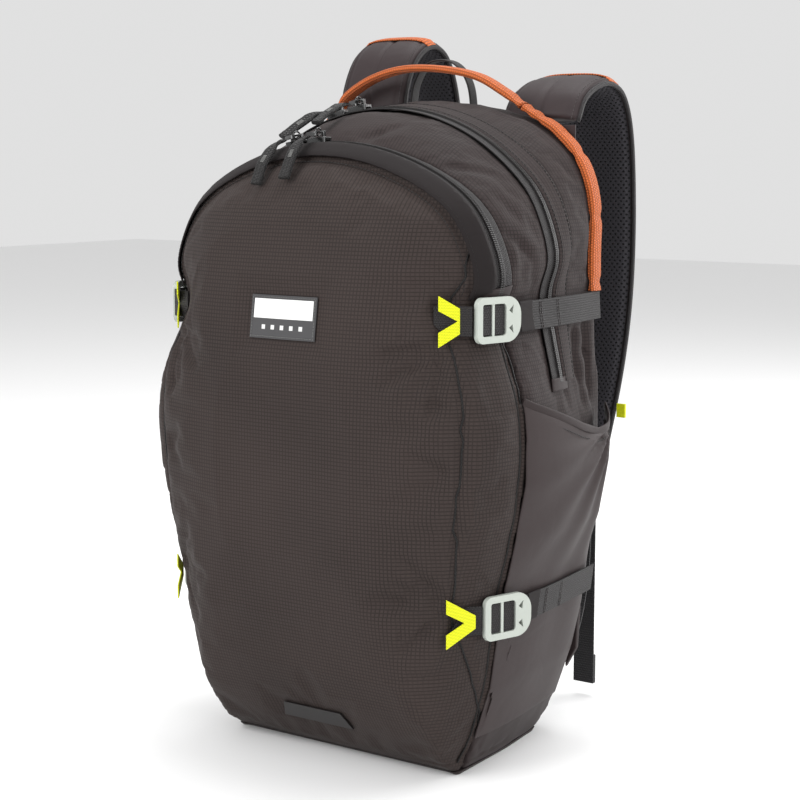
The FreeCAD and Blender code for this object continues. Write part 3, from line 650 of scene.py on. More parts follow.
def angle_at_height(tree, y, z):
    """The angle from straight up where the arch at plane y comes down to height z."""
    low, high = 0.2, math.radians(150)
    for _ in range(18):
        mid = (low + high) / 2
        hit = arch_hit(tree, y, mid)[0]
        if hit is None or hit.z > z:
            low = mid
        else:
            high = mid
    return low


rough_tree = bvh_of(outer_skin("front_pocket"), outer_skin("main_compartment"))


# The front panel's seam starts at the front zip's end, passes both gear loops, swells forward between them,
# and runs back to the split between the two shells at the base.
LOOPS_LOW, LOOPS_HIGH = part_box("gear_loops_right")
SEAM_LOOP_Y = (LOOPS_LOW[1] + LOOPS_HIGH[1]) / 2
SEAM_SWELL = 0.012
SEAM_FOOT = 0.030
SEAM_TOP = FRONT_ZIP_END + 0.030
UPPER_LOOP_Z, LOWER_LOOP_Z = STRAP_HEIGHTS


def seam_depth(z):
    """The seam's place from front to back at a height."""
    if z > UPPER_LOOP_Z:
        share = (z - UPPER_LOOP_Z) / (SEAM_TOP - UPPER_LOOP_Z)
        return SEAM_LOOP_Y + (FRONT_FLAP[0] - SEAM_LOOP_Y) * share
    if z > LOWER_LOOP_Z:
        share = (z - LOWER_LOOP_Z) / (UPPER_LOOP_Z - LOWER_LOOP_Z)
        return SEAM_LOOP_Y - SEAM_SWELL * math.sin(math.pi * share)
    share = (LOWER_LOOP_Z - z) / (LOWER_LOOP_Z - SEAM_FOOT)
    return SEAM_LOOP_Y + (SPLIT_Y + 0.006 - SEAM_LOOP_Y) * share


def panel_seam(side):
    """The seam that joins the front panel to its side, laid on the shell."""
    points = []
    for i in range(91):
        z = SEAM_TOP + (SEAM_FOOT - SEAM_TOP) * i / 90
        hit = side_hit(rough_tree, side, seam_depth(z), z)[0]
        if hit is not None:
            points.append(hit)
    return points


def side_seam(side, plane, low, high, count=60):
    """Points down the side of the front, where the plane meets the bag."""
    points = []
    for i in range(count + 1):
        z = high + (low - high) * i / count
        hit = side_hit(rough_tree, side, plane, z)[0]
        if hit is not None:
            points.append(hit)
    return points


def arch_line(y, end_z, count=120):
    end = angle_at_height(rough_tree, y, end_z)
    return [arch_hit(rough_tree, y, -end + 2 * end * i / count)[0] for i in range(count + 1)]


SEAMS = {"front_seam_" + word: panel_seam(s) for word, s in SIDES}
SEAMS["front_panel_edge"] = arch_line(FRONT_FLAP[0] - 0.001, FRONT_ZIP_END)
SEAMS["front_zip_rear"] = arch_line(FRONT_ZIP_Y + 0.0105, 0.30)
SEAMS["main_zip_front"] = arch_line(MAIN_ZIP_Y - 0.006, MAIN_ZIP_END)
SEAMS["main_zip_rear"] = arch_line(MAIN_FLAP[1] + 0.001, MAIN_ZIP_END)
for word, s in SIDES:
    SEAMS["gusset_seam_" + word] = side_seam(s, SPLIT_Y - 0.0078, 0.012, 0.36)


def near_tree(lines, step=0.0015):
    points = []
    for line in lines:
        for a, b in zip(line, line[1:]):
            parts = max(1, int((b - a).length / step))
            points.extend(a.lerp(b, k / parts) for k in range(parts))
    tree = KDTree(len(points))
    for i, point in enumerate(points):
        tree.insert(point, i)
    tree.balance()
    return tree


seam_near = near_tree(SEAMS.values())


def on_front(x, z):
    return front_hit(rough_tree, x, z)[0]


def fan(side, height, angles, length, press, reach):
    """Creases that spread over the front panel from a side. Angles are in degrees from straight inwards."""
    root = side_hit(rough_tree, side, seam_depth(height), height)[0]
    made = []
    for k, angle in enumerate(angles):
        turn = math.radians(angle)
        long = length * (1.0 - 0.18 * (k % 2))
        start = on_front(root.x - side * 0.010 * math.cos(turn), root.z + 0.010 * math.sin(turn))
        end = on_front(root.x - side * long * math.cos(turn), root.z + long * math.sin(turn))
        if start is not None and end is not None:
            made.append((start, end, press * (1.0 - 0.25 * (k % 2)), reach))
    return made


def upright_folds(side):
    """Folds of the gusset under the upper compression strap, down to the pocket's mouth."""
    made = []
    top = UPPER_LOOP_Z - 0.015
    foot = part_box("side_pocket_right")[1][2] - 0.014
    for share, press in ((0.12, 0.0026), (0.50, 0.0044), (0.76, 0.0044)):
        y = MAIN_ZIP_Y + (BACK_Y - MAIN_ZIP_Y) * share
        start = side_hit(rough_tree, side, y, top)[0]
        end = side_hit(rough_tree, side, y + 0.004, foot)[0]
        made.append((start, end, press, 0.0050))
    return made


def top_puckers():
    """Short puckers where the gusset between the two zips turns over the top."""
    made = []
    for angle in (-48, -24, 4, 30, 52):
        start = arch_hit(rough_tree, SPLIT_Y + 0.008, math.radians(angle))[0]
        end = arch_hit(rough_tree, SPLIT_Y + 0.030, math.radians(angle + 7))[0]
        made.append((start, end, 0.0024, 0.0052))
    return made


CREASES = top_puckers()
for word, s in SIDES:
    CREASES += fan(s, UPPER_LOOP_Z - 0.016, (-86, -66, -38, -14), 0.052, 0.0046, 0.0058)
    CREASES += fan(s, (UPPER_LOOP_Z + LOWER_LOOP_Z) / 2, (-20, 4, 24), 0.034, 0.0028, 0.0060)
    CREASES += fan(s, LOWER_LOOP_Z + 0.010, (52, 28, 6, -20, -46), 0.048, 0.0034, 0.0060)
    CREASES += upright_folds(s)


def crease_depth(place):
    """How far the creases press in at a place."""
    depth = 0.0
    for start, end, press, reach in CREASES:
        a = Vector(start)
        line = Vector(end) - a
        share = (place - a).dot(line) / line.length_squared
        if -0.3 < share < 1.3:
            inside = min(max(share, 0.0), 1.0)
            gap = (place - (a + line * inside)).length
            if gap < reach * 3:
                fade = math.sin(math.pi * min(max((share + 0.3) / 1.6, 0.0), 1.0))
                depth += 1.35 * press * fade * math.exp(-(gap / reach) ** 2)
    return depth


def seam_pull(place):
    """How far the stitching pulls the fabric in at a place."""
    gap = seam_near.find(place)[2]
    return 0.0018 * math.exp(-(gap / 0.0026) ** 2) + 0.0012 * math.exp(-(gap / 0.010) ** 2)


def undulation(place):
    """Slow unevenness of the panels."""
    return 0.0020 * noise.noise(place * 15.0) + 0.0008 * noise.noise(place * 38.0)


def held_bag(place):
    """1 where stitching, the base or the hardware holds the shell, 0 on the free fabric."""
    gap = seam_near.find(place)[2]
    firm = max(0.0, 1.0 - max(gap - 0.003, 0.0) / 0.010)
    if place.z < 0.012 or place.y > BACK_Y - 0.012 or abs(place.y - SPLIT_Y) < 0.006:
        firm = 1.0
    zipped = min(abs(place.y - FRONT_ZIP_Y), abs(place.y - MAIN_ZIP_Y - 0.012))
    if place.z > MAIN_ZIP_END - 0.01 and zipped < 0.020:
        firm = 1.0
    return max(firm, 0.06)


def cover_gap(place):
    """How far a place is from the nearest strip that lies on the shell."""
    side_x = abs(place.x)
    gaps = [0.05]
    if place.z > MAIN_ZIP_END - 0.004:
        gaps.append(max(MAIN_ZIP_Y - 0.012 - place.y, place.y - MAIN_FLAP[1], 0.0))
    if place.z > FRONT_ZIP_END - 0.090:
        gaps.append(max(FRONT_FLAP[0] - place.y, place.y - FRONT_ZIP_Y - 0.012, 0.0))
    if side_x > 0.10:
        for height in STRAP_HEIGHTS:
            gaps.append(max(abs(place.z - height) - 0.013, 0.0))
        if place.y > -0.056:
            gaps.append(max(place.z - 0.215, 0.0))
    if place.y < -0.08:
        for low, high in PATCHES:
            gaps.append(max(low[0] - place.x, place.x - high[0], low[2] - place.z, place.z - high[2], 0.0))
    if place.y > 0.078:
        gaps.append(max(0.360 - place.z, 0.0))
    return min(gaps)


def kept_under(bm):
    """Brings the shell back under the strips, and holds the free fabric within a few millimetres."""
    for vert in bm.verts:
        on_cad, normal = rough_tree.find_nearest(vert.co)[:2]
        off = (vert.co - on_cad).dot(normal)
        room = -0.0003 + 0.0038 * min(cover_gap(vert.co) / 0.016, 1.0)
        if off > room:
            vert.co -= normal * (off - room)


def bag_shell(node):
    """The node's outer skin as soft fabric: swollen, creased and drawn in along its seams."""
    work = remeshed(outer_skin(node), 0.0048)
    bm = applied(work)
    pressed(bm, held_bag, 2.5, -0.012, 0.0050)
    bmesh.ops.subdivide_edges(bm, edges=bm.edges, cuts=1, use_grid_fill=True, smooth=0.0)
    relaxed(bm)
    bm.normal_update()
    for vert in bm.verts:
        place = vert.co
        loose = 0.0 if place.z < 0.010 or place.y > BACK_Y - 0.004 else 1.0
        push = undulation(place) * loose - crease_depth(place) * loose - seam_pull(place)
        vert.co = place + vert.normal * push
    kept_under(bm)
    return bm


front_bm = bag_shell("front_pocket")
main_bm = bag_shell("main_compartment")
bag_tree = bvh_of(front_bm, main_bm)


def base_zone(bm):
    """Gives the faces under the curved bottom seam the smooth base fabric."""
    for face in bm.faces:
        place = face.calc_center_median()
        bottom_seam = 0.032 + 0.20 * max(place.y + 0.040, 0.0)
        if place.y > -0.046 and place.z < bottom_seam:
            face.material_index = 1


base_zone(main_bm)
front_shell = finished("front_shell", front_bm, "front_fabric", "bag")
main_shell = finished("main_shell", main_bm, "gusset_fabric", "bag")
main_shell.data.materials.append(MATERIALS["base_fabric"])
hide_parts("front_pocket")
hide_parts("main_compartment")

# ---- UVs, tubes and stitches -----------------------------------------------------------------------------
def box_uv(bm):
    """A UV map in metres, square to the axis each face looks along."""
    uv = bm.loops.layers.uv.verify()
    for face in bm.faces:
        n = face.normal
        for loop in face.loops:
            x, y, z = loop.vert.co
            if abs(n.z) >= max(abs(n.x), abs(n.y)):
                loop[uv].uv = (x, y)
            elif abs(n.y) > abs(n.x):
                loop[uv].uv = (x, z)
            else:
                loop[uv].uv = (y, z)


def swept(name, path, over, section, paint, body, smooth=True):
    """A closed band swept along a path. section(i) lists (across, out) pairs round it."""
    rows = []
    for i, point in enumerate(path):
        ahead = heading(path, i)
        wide = (over - ahead * over.dot(ahead)).normalized()
        out = wide.cross(ahead)
        ring = [point + wide * a + out * u for a, u in section(i)]
        rows.append(ring + [ring[0].copy()])
    bm, verts = grid_of(rows)
    around = len(rows[0])
    place = {}
    walked = 0.0
    girth = [0.0]
    for a, b in zip(rows[0], rows[0][1:]):
        girth.append(girth[-1] + (b - a).length)
    for i, row in enumerate(rows):
        if i:
            walked += (path[i] - path[i - 1]).length
        for j in range(around):
            place[verts[i * around + j]] = (walked, girth[j])
    lay_uv(bm, place)
    close_tube(bm)
    return finished(name, bm, paint, body, smooth)


def rounded_section(width, thick, power=4.0, count=20):
    """Points round a rounded bar of the given width and thickness."""
    points = []
    for k in range(count):
        angle = 2 * math.pi * k / count
        c, s = math.cos(angle), math.sin(angle)
        points.append((math.copysign(abs(c) ** (2 / power), c) * width / 2,
                       math.copysign(abs(s) ** (2 / power), s) * thick / 2))
    return points


def stitches(name, lines, paint, body, pitch=0.0036, length=0.0025, thick=0.00055):
    """Short threads along lines of (points, outward normals)."""
    mesh = bpy.data.meshes.new(name)
    total = bmesh.new()
    for points, ups in lines:
        row = bmesh.new()
        walked = 0.0
        due = 0.0
        for i in range(len(points) - 1):
            span = (points[i + 1] - points[i]).length
            if span < 1e-7:
                continue
            ahead = (points[i + 1] - points[i]) / span
            up = (ups[i] - ahead * ups[i].dot(ahead)).normalized()
            while due <= walked + span:
                centre = points[i] + ahead * (due - walked) + up * thick * 0.3
                turn = Matrix((ahead, up.cross(ahead), up)).transposed().to_4x4()
                size = Matrix.Diagonal((length, thick, thick * 0.8, 1))
                bmesh.ops.create_cube(row, size=1.0, matrix=Matrix.Translation(centre) @ turn @ size)
                due += pitch
            walked += span
        row.to_mesh(mesh)
        row.free()
        total.from_mesh(mesh)
    total.normal_update()
    box_uv(total)
    bpy.data.meshes.remove(mesh)
    return finished(name, total, paint, body, smooth=False)


def piping(name, lines, radius, paint, body):
    """Thin round cords sewn into seams, half sunk in the shell."""
    for k, (line, over) in enumerate(lines):
        points = []
        for place in line[::2]:
            on_shell, normal = bag_tree.find_nearest(place)[:2]
            points.append(on_shell - normal * radius * 0.2)
        swept(f"{name}_{k}", points, over, lambda i: rounded_section(radius * 2, radius * 2, 2.0, 8),
              paint, body)


# ---- zips and their flaps --------------------------------------------------------------------------------
def arch_rows(y0, y1, end_z, lifts, count, across):
    """Rows round the bag's arch between two planes; lifts(t) is the height off the shell across the band."""
    end = angle_at_height(rough_tree, (y0 + y1) / 2, end_z)
    rows = []
    ups = []
    for i in range(count + 1):
        angle = -end + 2 * end * i / count
        row = []
        for j in range(across + 1):
            t = j / across
            point, normal = arch_hit(rough_tree, y0 + (y1 - y0) * t, angle)
            row.append(point + normal * lifts(t))
        rows.append(row)
        ups.append(normal)
    return rows, ups


def zip_set(word, y, end_z, flap, crowned, paint):
    """Tape, coil and flap of one arched zip, and their stitching."""
    tape_rows, ups = arch_rows(y - 0.012, y + 0.012, end_z, lambda t: 0.0012, 150, 6)
    tape = strip(f"{word}_zip_tape", tape_rows, "black_webbing", "bag", 0.0010, -1.0)
    coil_rows, coil_ups = arch_rows(y - 0.0024, y + 0.0024, end_z, lambda t: 0.0014, 220, 2)
    teeth = []
    for side in (0, 2):
        teeth.append(([row[side].lerp(row[1], 0.45) for row in coil_rows], coil_ups))
    stitches(f"{word}_zip_coil", teeth, "tab_rubber", "bag", pitch=0.0016, length=0.0010,
             thick=0.0022)
    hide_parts(f"{word}_zip")
    y0, y1 = flap

    def crown(t):
        return crowned * (1 - (2 * t - 1) ** 4)

    flap_rows, flap_ups = arch_rows(y0, y1, end_z, lambda t: 0.0016 + crown(t), 150, 8)
    cover = strip(f"{word}_storm_flap", flap_rows, paint, "bag", 0.0011, -1.0)
    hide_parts(f"{word}_zip_flap")
    lines = []
    for t in (0.14, 0.86):
        lines.append(([row[0].lerp(row[-1], t) + up * (0.0001 + crown(t))
                       for row, up in zip(flap_rows, flap_ups)], flap_ups))
    outside = arch_rows(y0 - 0.0032, y0 - 0.0030, end_z, lambda t: 0.0001, 150, 1)
    lines.append(([row[0] for row in outside[0]], outside[1]))
    stitches(f"{word}_flap_stitches", lines, "seam_thread", "bag")


zip_set("front", FRONT_ZIP_Y, FRONT_ZIP_END, FRONT_FLAP, 0.0008, "flap_fabric")
zip_set("main", MAIN_ZIP_Y, MAIN_ZIP_END, MAIN_FLAP, 0.0014, "gusset_fabric")
BACKWARDS = Vector((0, 1, 0))
SIDE_SEAMS = [line for key, line in SEAMS.items() if key.startswith(("front_seam", "gusset_seam"))]
ARCH_SEAMS = [SEAMS[key] for key in ("main_zip_rear", "main_zip_front", "front_zip_rear")]
piping("seam_piping", [([p.copy() for p in line], BACKWARDS) for line in SIDE_SEAMS], 0.0009, "seam_thread",
       "bag")
piping("arch_piping", [(line, BACKWARDS) for line in ARCH_SEAMS], 0.0008, "seam_thread", "bag")


def zip_end(word, y, end_z):
    """A patch of fabric over each end of a zip."""
    end = angle_at_height(rough_tree, y, end_z)
    for side_word, side in SIDES:
        rows = []
        for i in range(9):
            angle = side * (end - 0.022 + 0.060 * i / 8)
            row = []
            for j in range(9):
                point, normal = arch_hit(rough_tree, y - 0.0135 + 0.027 * j / 8, angle)
                row.append(point + normal * (0.0030 - 0.0016 * (abs(j - 4) / 4) ** 2 - 0.0008 * i / 8))
            rows.append(row)
        strip(f"{word}_zip_end_{side_word}", rows, "base_fabric", "bag", 0.0012, -side)


zip_end("front", FRONT_ZIP_Y, FRONT_ZIP_END)
zip_end("main", MAIN_ZIP_Y, MAIN_ZIP_END)


def keeper(word, side, level, height):
    """The sleeve round the compression webbing behind its buckle, and the tacks that follow it."""
    tree = bvh_of(node_copy(f"compression_webbing_{word}"))

    def on_band(y, z):
        return side_hit(tree, side, y, z)

    front = -0.10
    while front < 0.05 and on_band(front, height)[0] is None:
        front += 0.001
    rows = []
    for i in range(13):
        y = front + 0.004 + 0.019 * i / 12
        row = []
        for j in range(9):
            hit, normal = on_band(y, height + 0.0105 * (j / 4 - 1))
            if hit is None:
                return
            row.append(hit + normal * 0.0008)
        row.insert(0, row[0] + Vector((-side * 0.0008, 0, -0.0014)))
        row.append(row[-1] + Vector((-side * 0.0008, 0, 0.0014)))
        rows.append(row)
    strip(f"{level}_keeper_{word}", rows, "flap_fabric", "bag", 0.0010, -side)
    lines = []
    for y in (front + 0.034, front + 0.0365, front + 0.060, front + 0.0625):
        points = []
        ups = []
        for j in range(9):
            hit, normal = on_band(y, height + 0.0095 * (j / 4 - 1))
            if hit is not None:
                points.append(hit)
                ups.append(normal)
        if len(points) > 3:
            lines.append((points, ups))
    if lines:
        stitches(f"{level}_band_tacks_{word}", lines, "light_thread", "bag", 0.0026, 0.0018,
                 0.0006)


for level, height in zip(("upper", "lower"), STRAP_HEIGHTS):
    for word, s in SIDES:
        keeper(word, s, level, height)


# ---- label and light tab ---------------------------------------------------------------------------------
def front_patch_rows(low, high, lift, across=20, up=12):
    rows = []
    for i in range(across + 1):
        x = low[0] + (high[0] - low[0]) * i / across
        row = []
        for j in range(up + 1):
            z = low[2] + (high[2] - low[2]) * j / up
            point, normal = front_hit(rough_tree, x, z)
            row.append(point + normal * lift)
        rows.append(row)
    return rows


def border_line(rows, inset):
    """A loop of points just inside a patch's edge."""
    def at(u, v):
        i = min(int(u * (len(rows) - 1)), len(rows) - 2)
        j = min(int(v * (len(rows[0]) - 1)), len(rows[0]) - 2)
        s = u * (len(rows) - 1) - i
        t = v * (len(rows[0]) - 1) - j
        return rows[i][j].lerp(rows[i + 1][j], s).lerp(rows[i][j + 1].lerp(rows[i + 1][j + 1], s), t)
    wide = (rows[-1][0] - rows[0][0]).length
    tall = (rows[0][-1] - rows[0][0]).length
    a, b = inset / wide, inset / tall
    loop = [(a, b), (1 - a, b), (1 - a, 1 - b), (a, 1 - b), (a, b)]
    points = []
    for (u0, v0), (u1, v1) in zip(loop, loop[1:]):
        points.extend(at(u0 + (u1 - u0) * k / 24, v0 + (v1 - v0) * k / 24) for k in range(24))
    points.append(at(a, b))
    return points


label_rows = front_patch_rows(*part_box("label"), 0.0014)
label = strip("label_patch", label_rows, "label_weave", "bag", 0.0012, -1.0)
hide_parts("label")
edge_line = border_line(label_rows, 0.0016)
front_up = [Vector((0, -1, 0.05)).normalized()] * len(edge_line)
stitches("label_stitches", [(edge_line, front_up)], "tack_thread", "bag", 0.0024, 0.0017,
         0.0004)
eased_copy("light_tab_patch", "light_tab", "tab_rubber", "bag", 0.0004)

# ---- moulded and small sewn parts ------------------------------------------------------------------------
for level in ("upper", "lower"):
    for word, s in SIDES:
        body = f"{level}_buckle_{word}"
        eased_copy(f"{body}_frame", body, "buckle_plastic", body, 0.0007)
        eased_copy(f"{body}_band", f"{level}_buckle_webbing_{word}", "black_webbing", body)
for word, s in SIDES:
    eased_copy(f"seam_band_{word}", f"seam_webbing_{word}", "black_webbing", "bag")
    eased_copy(f"compression_band_{word}", f"compression_webbing_{word}", "black_webbing", "bag")
    eased_copy(f"gear_loop_{word}", f"gear_loops_{word}", "lime_webbing", "bag")
    adjuster = eased_copy(f"adjuster_band_{word}", f"adjuster_webbing_{word}", "tail_webbing", None)
    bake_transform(adjuster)
    eased_copy(f"anchor_triangle_{word}", f"strap_anchor_{word}", "base_fabric", "bag", 0.0010)
    eased_copy(f"lock_frame_{word}", f"ladder_lock_{word}", "buckle_plastic", f"lock_{word}",
               0.0006)
    eased_copy(f"tongue_band_{word}", f"strap_tongue_{word}", "black_webbing", f"strap_{word}")
    eased_copy(f"lime_tab_{word}", f"strap_tab_{word}", "lime_webbing", f"strap_{word}")
    eased_copy(f"tail_band_{word}", f"webbing_tail_{word}", "tail_webbing", f"tail_{word}")
eased_copy("yoke_band", "strap_yoke", "strap_fabric", "bag", 0.0004)
eased_copy("base_sheet", "base_panel", "base_fabric", "bag", 0.0006)
for name in ZIP_SLIDERS:
    body = f"{name}_slider"
    eased_copy(f"{body}_body", body, "slider_gloss", body, 0.0005)


def pull_ribbon(name):
    """A doubled woven pull that turns its flat side outwards below its ring, with a light tack across it."""
    body = f"{name}_pull"
    points = [v.co.copy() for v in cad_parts[body].data.vertices]
    start = middle(f"{name}_slider")
    start = min(points, key=lambda p: (p - start).length)
    reach = max((p - start).length for p in points)
    line = []
    for k in range(6):
        near, far = reach * (k - 0.1) / 6, reach * (k + 1.1) / 6
        inside = [p for p in points if near <= (p - start).length <= far]
        if inside:
            low = Vector([min(p[a] for p in inside) for a in range(3)])
            high = Vector([max(p[a] for p in inside) for a in range(3)])
            line.append((low + high) / 2)
    line.append(line[-1] + (line[-1] - line[-2]) * 0.42)
    ring = eased_copy(f"{name}_pull_ring", body, "slider_gloss", body)
    cut = bmesh.new()
    cut.from_mesh(ring.data)
    far = [v for v in cut.verts if (v.co - start).length > reach * 0.20]
    bmesh.ops.delete(cut, geom=far, context="VERTS")
    bmesh.ops.holes_fill(cut, edges=[e for e in cut.edges if e.is_boundary], sides=0)
    cut.to_mesh(ring.data)
    cut.free()
    path = smooth_path(line[1:] if len(line) > 4 else line, 40)
    if name.startswith("main"):
        for i, point in enumerate(path):
            outwards = Vector((point.x, 0, point.z - ARCH_CENTRE_Z)).normalized()
            path[i] = point + outwards * 0.0018 * min(i / 14, 1.0)
    rows = []
    for i, point in enumerate(path):
        ahead = heading(path, i)
        flat = ahead.cross(Vector((0, -1, 0.15))).normalized()
        turn = min(i / 14, 1.0)
        wide = Vector((0, 1, 0)).lerp(flat, turn).normalized()
        out = wide.cross(ahead).normalized()
        broad = 0.0044 if name.startswith("main") else 0.0052
        half = broad if i > 3 else 0.0034 + (broad - 0.0034) * i / 3
        swell = 1.0 + 0.35 * (i > 34)
        ring_points = [point + wide * a * half / 0.005 + out * u * swell
                       for a, u in rounded_section(0.010, 0.0028, 3.6, 20)]
        rows.append(ring_points + [ring_points[0].copy()])
    bm, verts = grid_of(rows)
    where = {}
    for i in range(len(rows)):
        for j in range(21):
            where[verts[i * 21 + j]] = (i * 0.0011, j * 0.0012)
    lay_uv(bm, where)
    close_tube(bm)
    band = finished(f"{name}_pull_band", bm, "pull_rubber", body)
    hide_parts(body)
    tack = bmesh.new()
    for k in range(6):
        i = 19 + k
        ahead = heading(path, i)
        wide = ahead.cross(Vector((0, -1, 0.15))).normalized()
        out = wide.cross(ahead).normalized()
        if out.y > 0:
            out = -out
        turn = Matrix((ahead, out.cross(ahead), out)).transposed().to_4x4()
        for sign in (-1, 1):
            spot = path[i] + out * sign * 0.00145
            bmesh.ops.create_cube(tack, size=1.0, matrix=Matrix.Translation(spot) @ turn
                                  @ Matrix.Diagonal((0.0008, 0.0034, 0.0005, 1)))
    box_uv(tack)
    finished(f"{name}_pull_tack", tack, "tack_thread", body, smooth=False)


for name in ZIP_SLIDERS:
    pull_ribbon(name)

# ---- grab handle and hang loop ---------------------------------------------------------------------------
HANDLE_Y = sum(c[1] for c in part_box("haul_handle")) / 2
HANDLE_LINE = ((-0.108, 0.5216), (-0.096, 0.534), (-0.070, 0.547), (-0.038, 0.554), (0.0, 0.553),
               (0.036, 0.546), (0.062, 0.533), (0.080, 0.5216))
LOOP_LINE = ((-0.041, 0.509), (-0.037, 0.541), (-0.022, 0.559), (0.002, 0.559), (0.018, 0.541),
             (0.023, 0.509))


def pinched(count, width, thick, tacks):
    """Section of a thick webbing that bar tacks squeeze at some places along it."""
    def section(i):
        squeeze = sum(math.exp(-((i / count - place) / 0.022) ** 2) for place in tacks)
        return rounded_section(width * (1 - 0.10 * squeeze), thick * (1 - 0.42 * min(squeeze, 1.0)), 3.2, 24)
    return section


handle_path = smooth_path([(x, HANDLE_Y, z) for x, z in HANDLE_LINE], 110)
handle = swept("handle_band", handle_path, Vector((0, 1, 0)), pinched(110, 0.0150, 0.0062, (0.02, 0.97)),
               "orange_webbing", "haul_handle")
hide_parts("haul_handle")


def sewn_shoulder(word, side, start):
    """The orange webbing that runs on from the handle, sewn down the back seam."""
    top = angle_at_height(rough_tree, HANDLE_Y, start[-1][1] - 0.010)
    end = angle_at_height(rough_tree, HANDLE_Y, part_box(f"handle_webbing_{word}")[0][2])
    points = [(x, HANDLE_Y, z) for x, z in start]
    for k in range(15):
        point, normal = arch_hit(rough_tree, HANDLE_Y, side * (top + (end - top) * k / 14))
        points.append(point + normal * 0.0032)
    path = smooth_path(points, 150)
    band = swept(f"shoulder_band_{word}", path, Vector((0, 1, 0)),
                 pinched(150, 0.0148, 0.0070, (0.03, 0.10, 0.36, 0.66, 0.96)), "orange_webbing", "bag")
    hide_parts(f"handle_webbing_{word}")


sewn_shoulder("right", 1, ((0.0822, 0.5202), (0.096, 0.512), (0.110, 0.504)))
sewn_shoulder("left", -1, ((-0.110, 0.5198), (-0.121, 0.505), (-0.131, 0.486)))
loop_path = smooth_path([(x, 0.1045, z) for x, z in LOOP_LINE], 60)
loop = swept("loop_band", loop_path, Vector((0, 1, 0)), lambda i: rounded_section(0.0108, 0.0018, 4.0, 16),
             "black_webbing", "hang_loop")
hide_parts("hang_loop")

# ---- shoulder straps -------------------------------------------------------------------------------------
STRAP_LINES = {
    "left": ((0.106, 0.510), (0.112, 0.540), (0.128, 0.566), (0.152, 0.577), (0.176, 0.566), (0.192, 0.532),
             (0.199, 0.472), (0.199, 0.392), (0.193, 0.312), (0.184, 0.234)),
    "right": ((0.106, 0.510), (0.118, 0.528), (0.140, 0.539), (0.164, 0.541), (0.186, 0.530), (0.199, 0.498),
              (0.203, 0.440), (0.201, 0.370), (0.194, 0.300), (0.185, 0.234)),
}
STRAP_X = 0.086


def shoulder_strap(word, side):
    body = f"strap_{word}"
    over = Vector((1, 0, 0))
    count = 120
    path = smooth_path([(side * STRAP_X, y, z) for y, z in STRAP_LINES[word]], count)
    pad_tree = bvh_of(node_copy(f"strap_pad_{word}"))
    halves = []
    for i, point in enumerate(path):
        ahead = heading(path, i)
        inside = point + over.cross(ahead) * 0.0025
        hit = pad_tree.ray_cast(inside, over)[0]
        halves.append((hit - inside).length if hit is not None and (hit - inside).length > 0.015 else None)
    known = [h for h in halves if h]
    halves = [h if h else (known[0] if i < count / 2 else known[-1]) for i, h in enumerate(halves)]

    def pad_section(i):
        half = halves[i]
        points = []
        for k in range(33):
            s = -1 + k / 16
            seam = 0.0010 * math.exp(-((abs(s) - 0.80) / 0.045) ** 2) + 0.0016 * math.exp(-(s / 0.07) ** 2)
            points.append((s * (half - 0.0006), 0.0002 + 0.0066 * (1 - abs(s) ** 3.2) ** 0.55 - seam))
        for k in range(1, 16):
            s = 1 - k / 8
            points.append((s * (half - 0.0006), -0.0018))
        return points

    def mesh_section(i):
        half = halves[i] - 0.0035
        points = [(half * (-1 + k / 6), -0.0019) for k in range(13)]
        for k in range(1, 12):
            s = 1 - k / 6
            points.append((s * half, -0.0026 - 0.0029 * (1 - abs(s) ** 4)))
        return points

    pad = swept(f"shoulder_pad_{word}", path, over, pad_section, "strap_fabric", body)
    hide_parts(f"strap_pad_{word}")
    lining = swept(f"shoulder_mesh_{word}", path, over, mesh_section, "strap_mesh", body)
    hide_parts(f"strap_mesh_{word}")
    for edge, sign in (("outer", 1), ("inner", -1)):
        line = []
        for i, point in enumerate(path):
            ahead = heading(path, i)
            line.append(point + over * sign * (halves[i] - 0.0008) - over.cross(ahead) * 0.0010)
        swept(f"strap_binding_{edge}_{word}", line, over, lambda i: rounded_section(0.0032, 0.0042, 2.6, 12),
              "binding", body)
    lines = []
    for sign in (-1, 1):
        points = []
        ups = []
        for i, point in enumerate(path):
            ahead = heading(path, i)
            out = over.cross(ahead)
            points.append(point + over * sign * halves[i] * 0.86 + out * 0.0036)
            ups.append(out)
        lines.append((points, ups))
    stitches(f"strap_stitches_{word}", lines, "light_thread", body)
    low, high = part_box(f"strap_band_{word}")
    crown = (low[1] + high[1]) / 2
    near = [i for i, p in enumerate(path) if abs(p.y - crown) < 0.0072 and p.z > 0.50]
    band_rows = []
    for i in near:
        ahead = heading(path, i)
        out = over.cross(ahead)
        row = []
        for k in range(13):
            s = -1 + k / 6
            rise = 0.0012 + 0.0072 * (1 - abs(s) ** 3.2) ** 0.55
            row.append(path[i] + over * s * (halves[i] + 0.0004) + out * rise)
        band_rows.append(row)
    if len(band_rows) > 2:
        band = strip(f"crown_band_{word}", band_rows, "orange_webbing", body, 0.0012, 1.0)
        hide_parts(f"strap_band_{word}")


for word, s in SIDES:
    shoulder_strap(word, s)


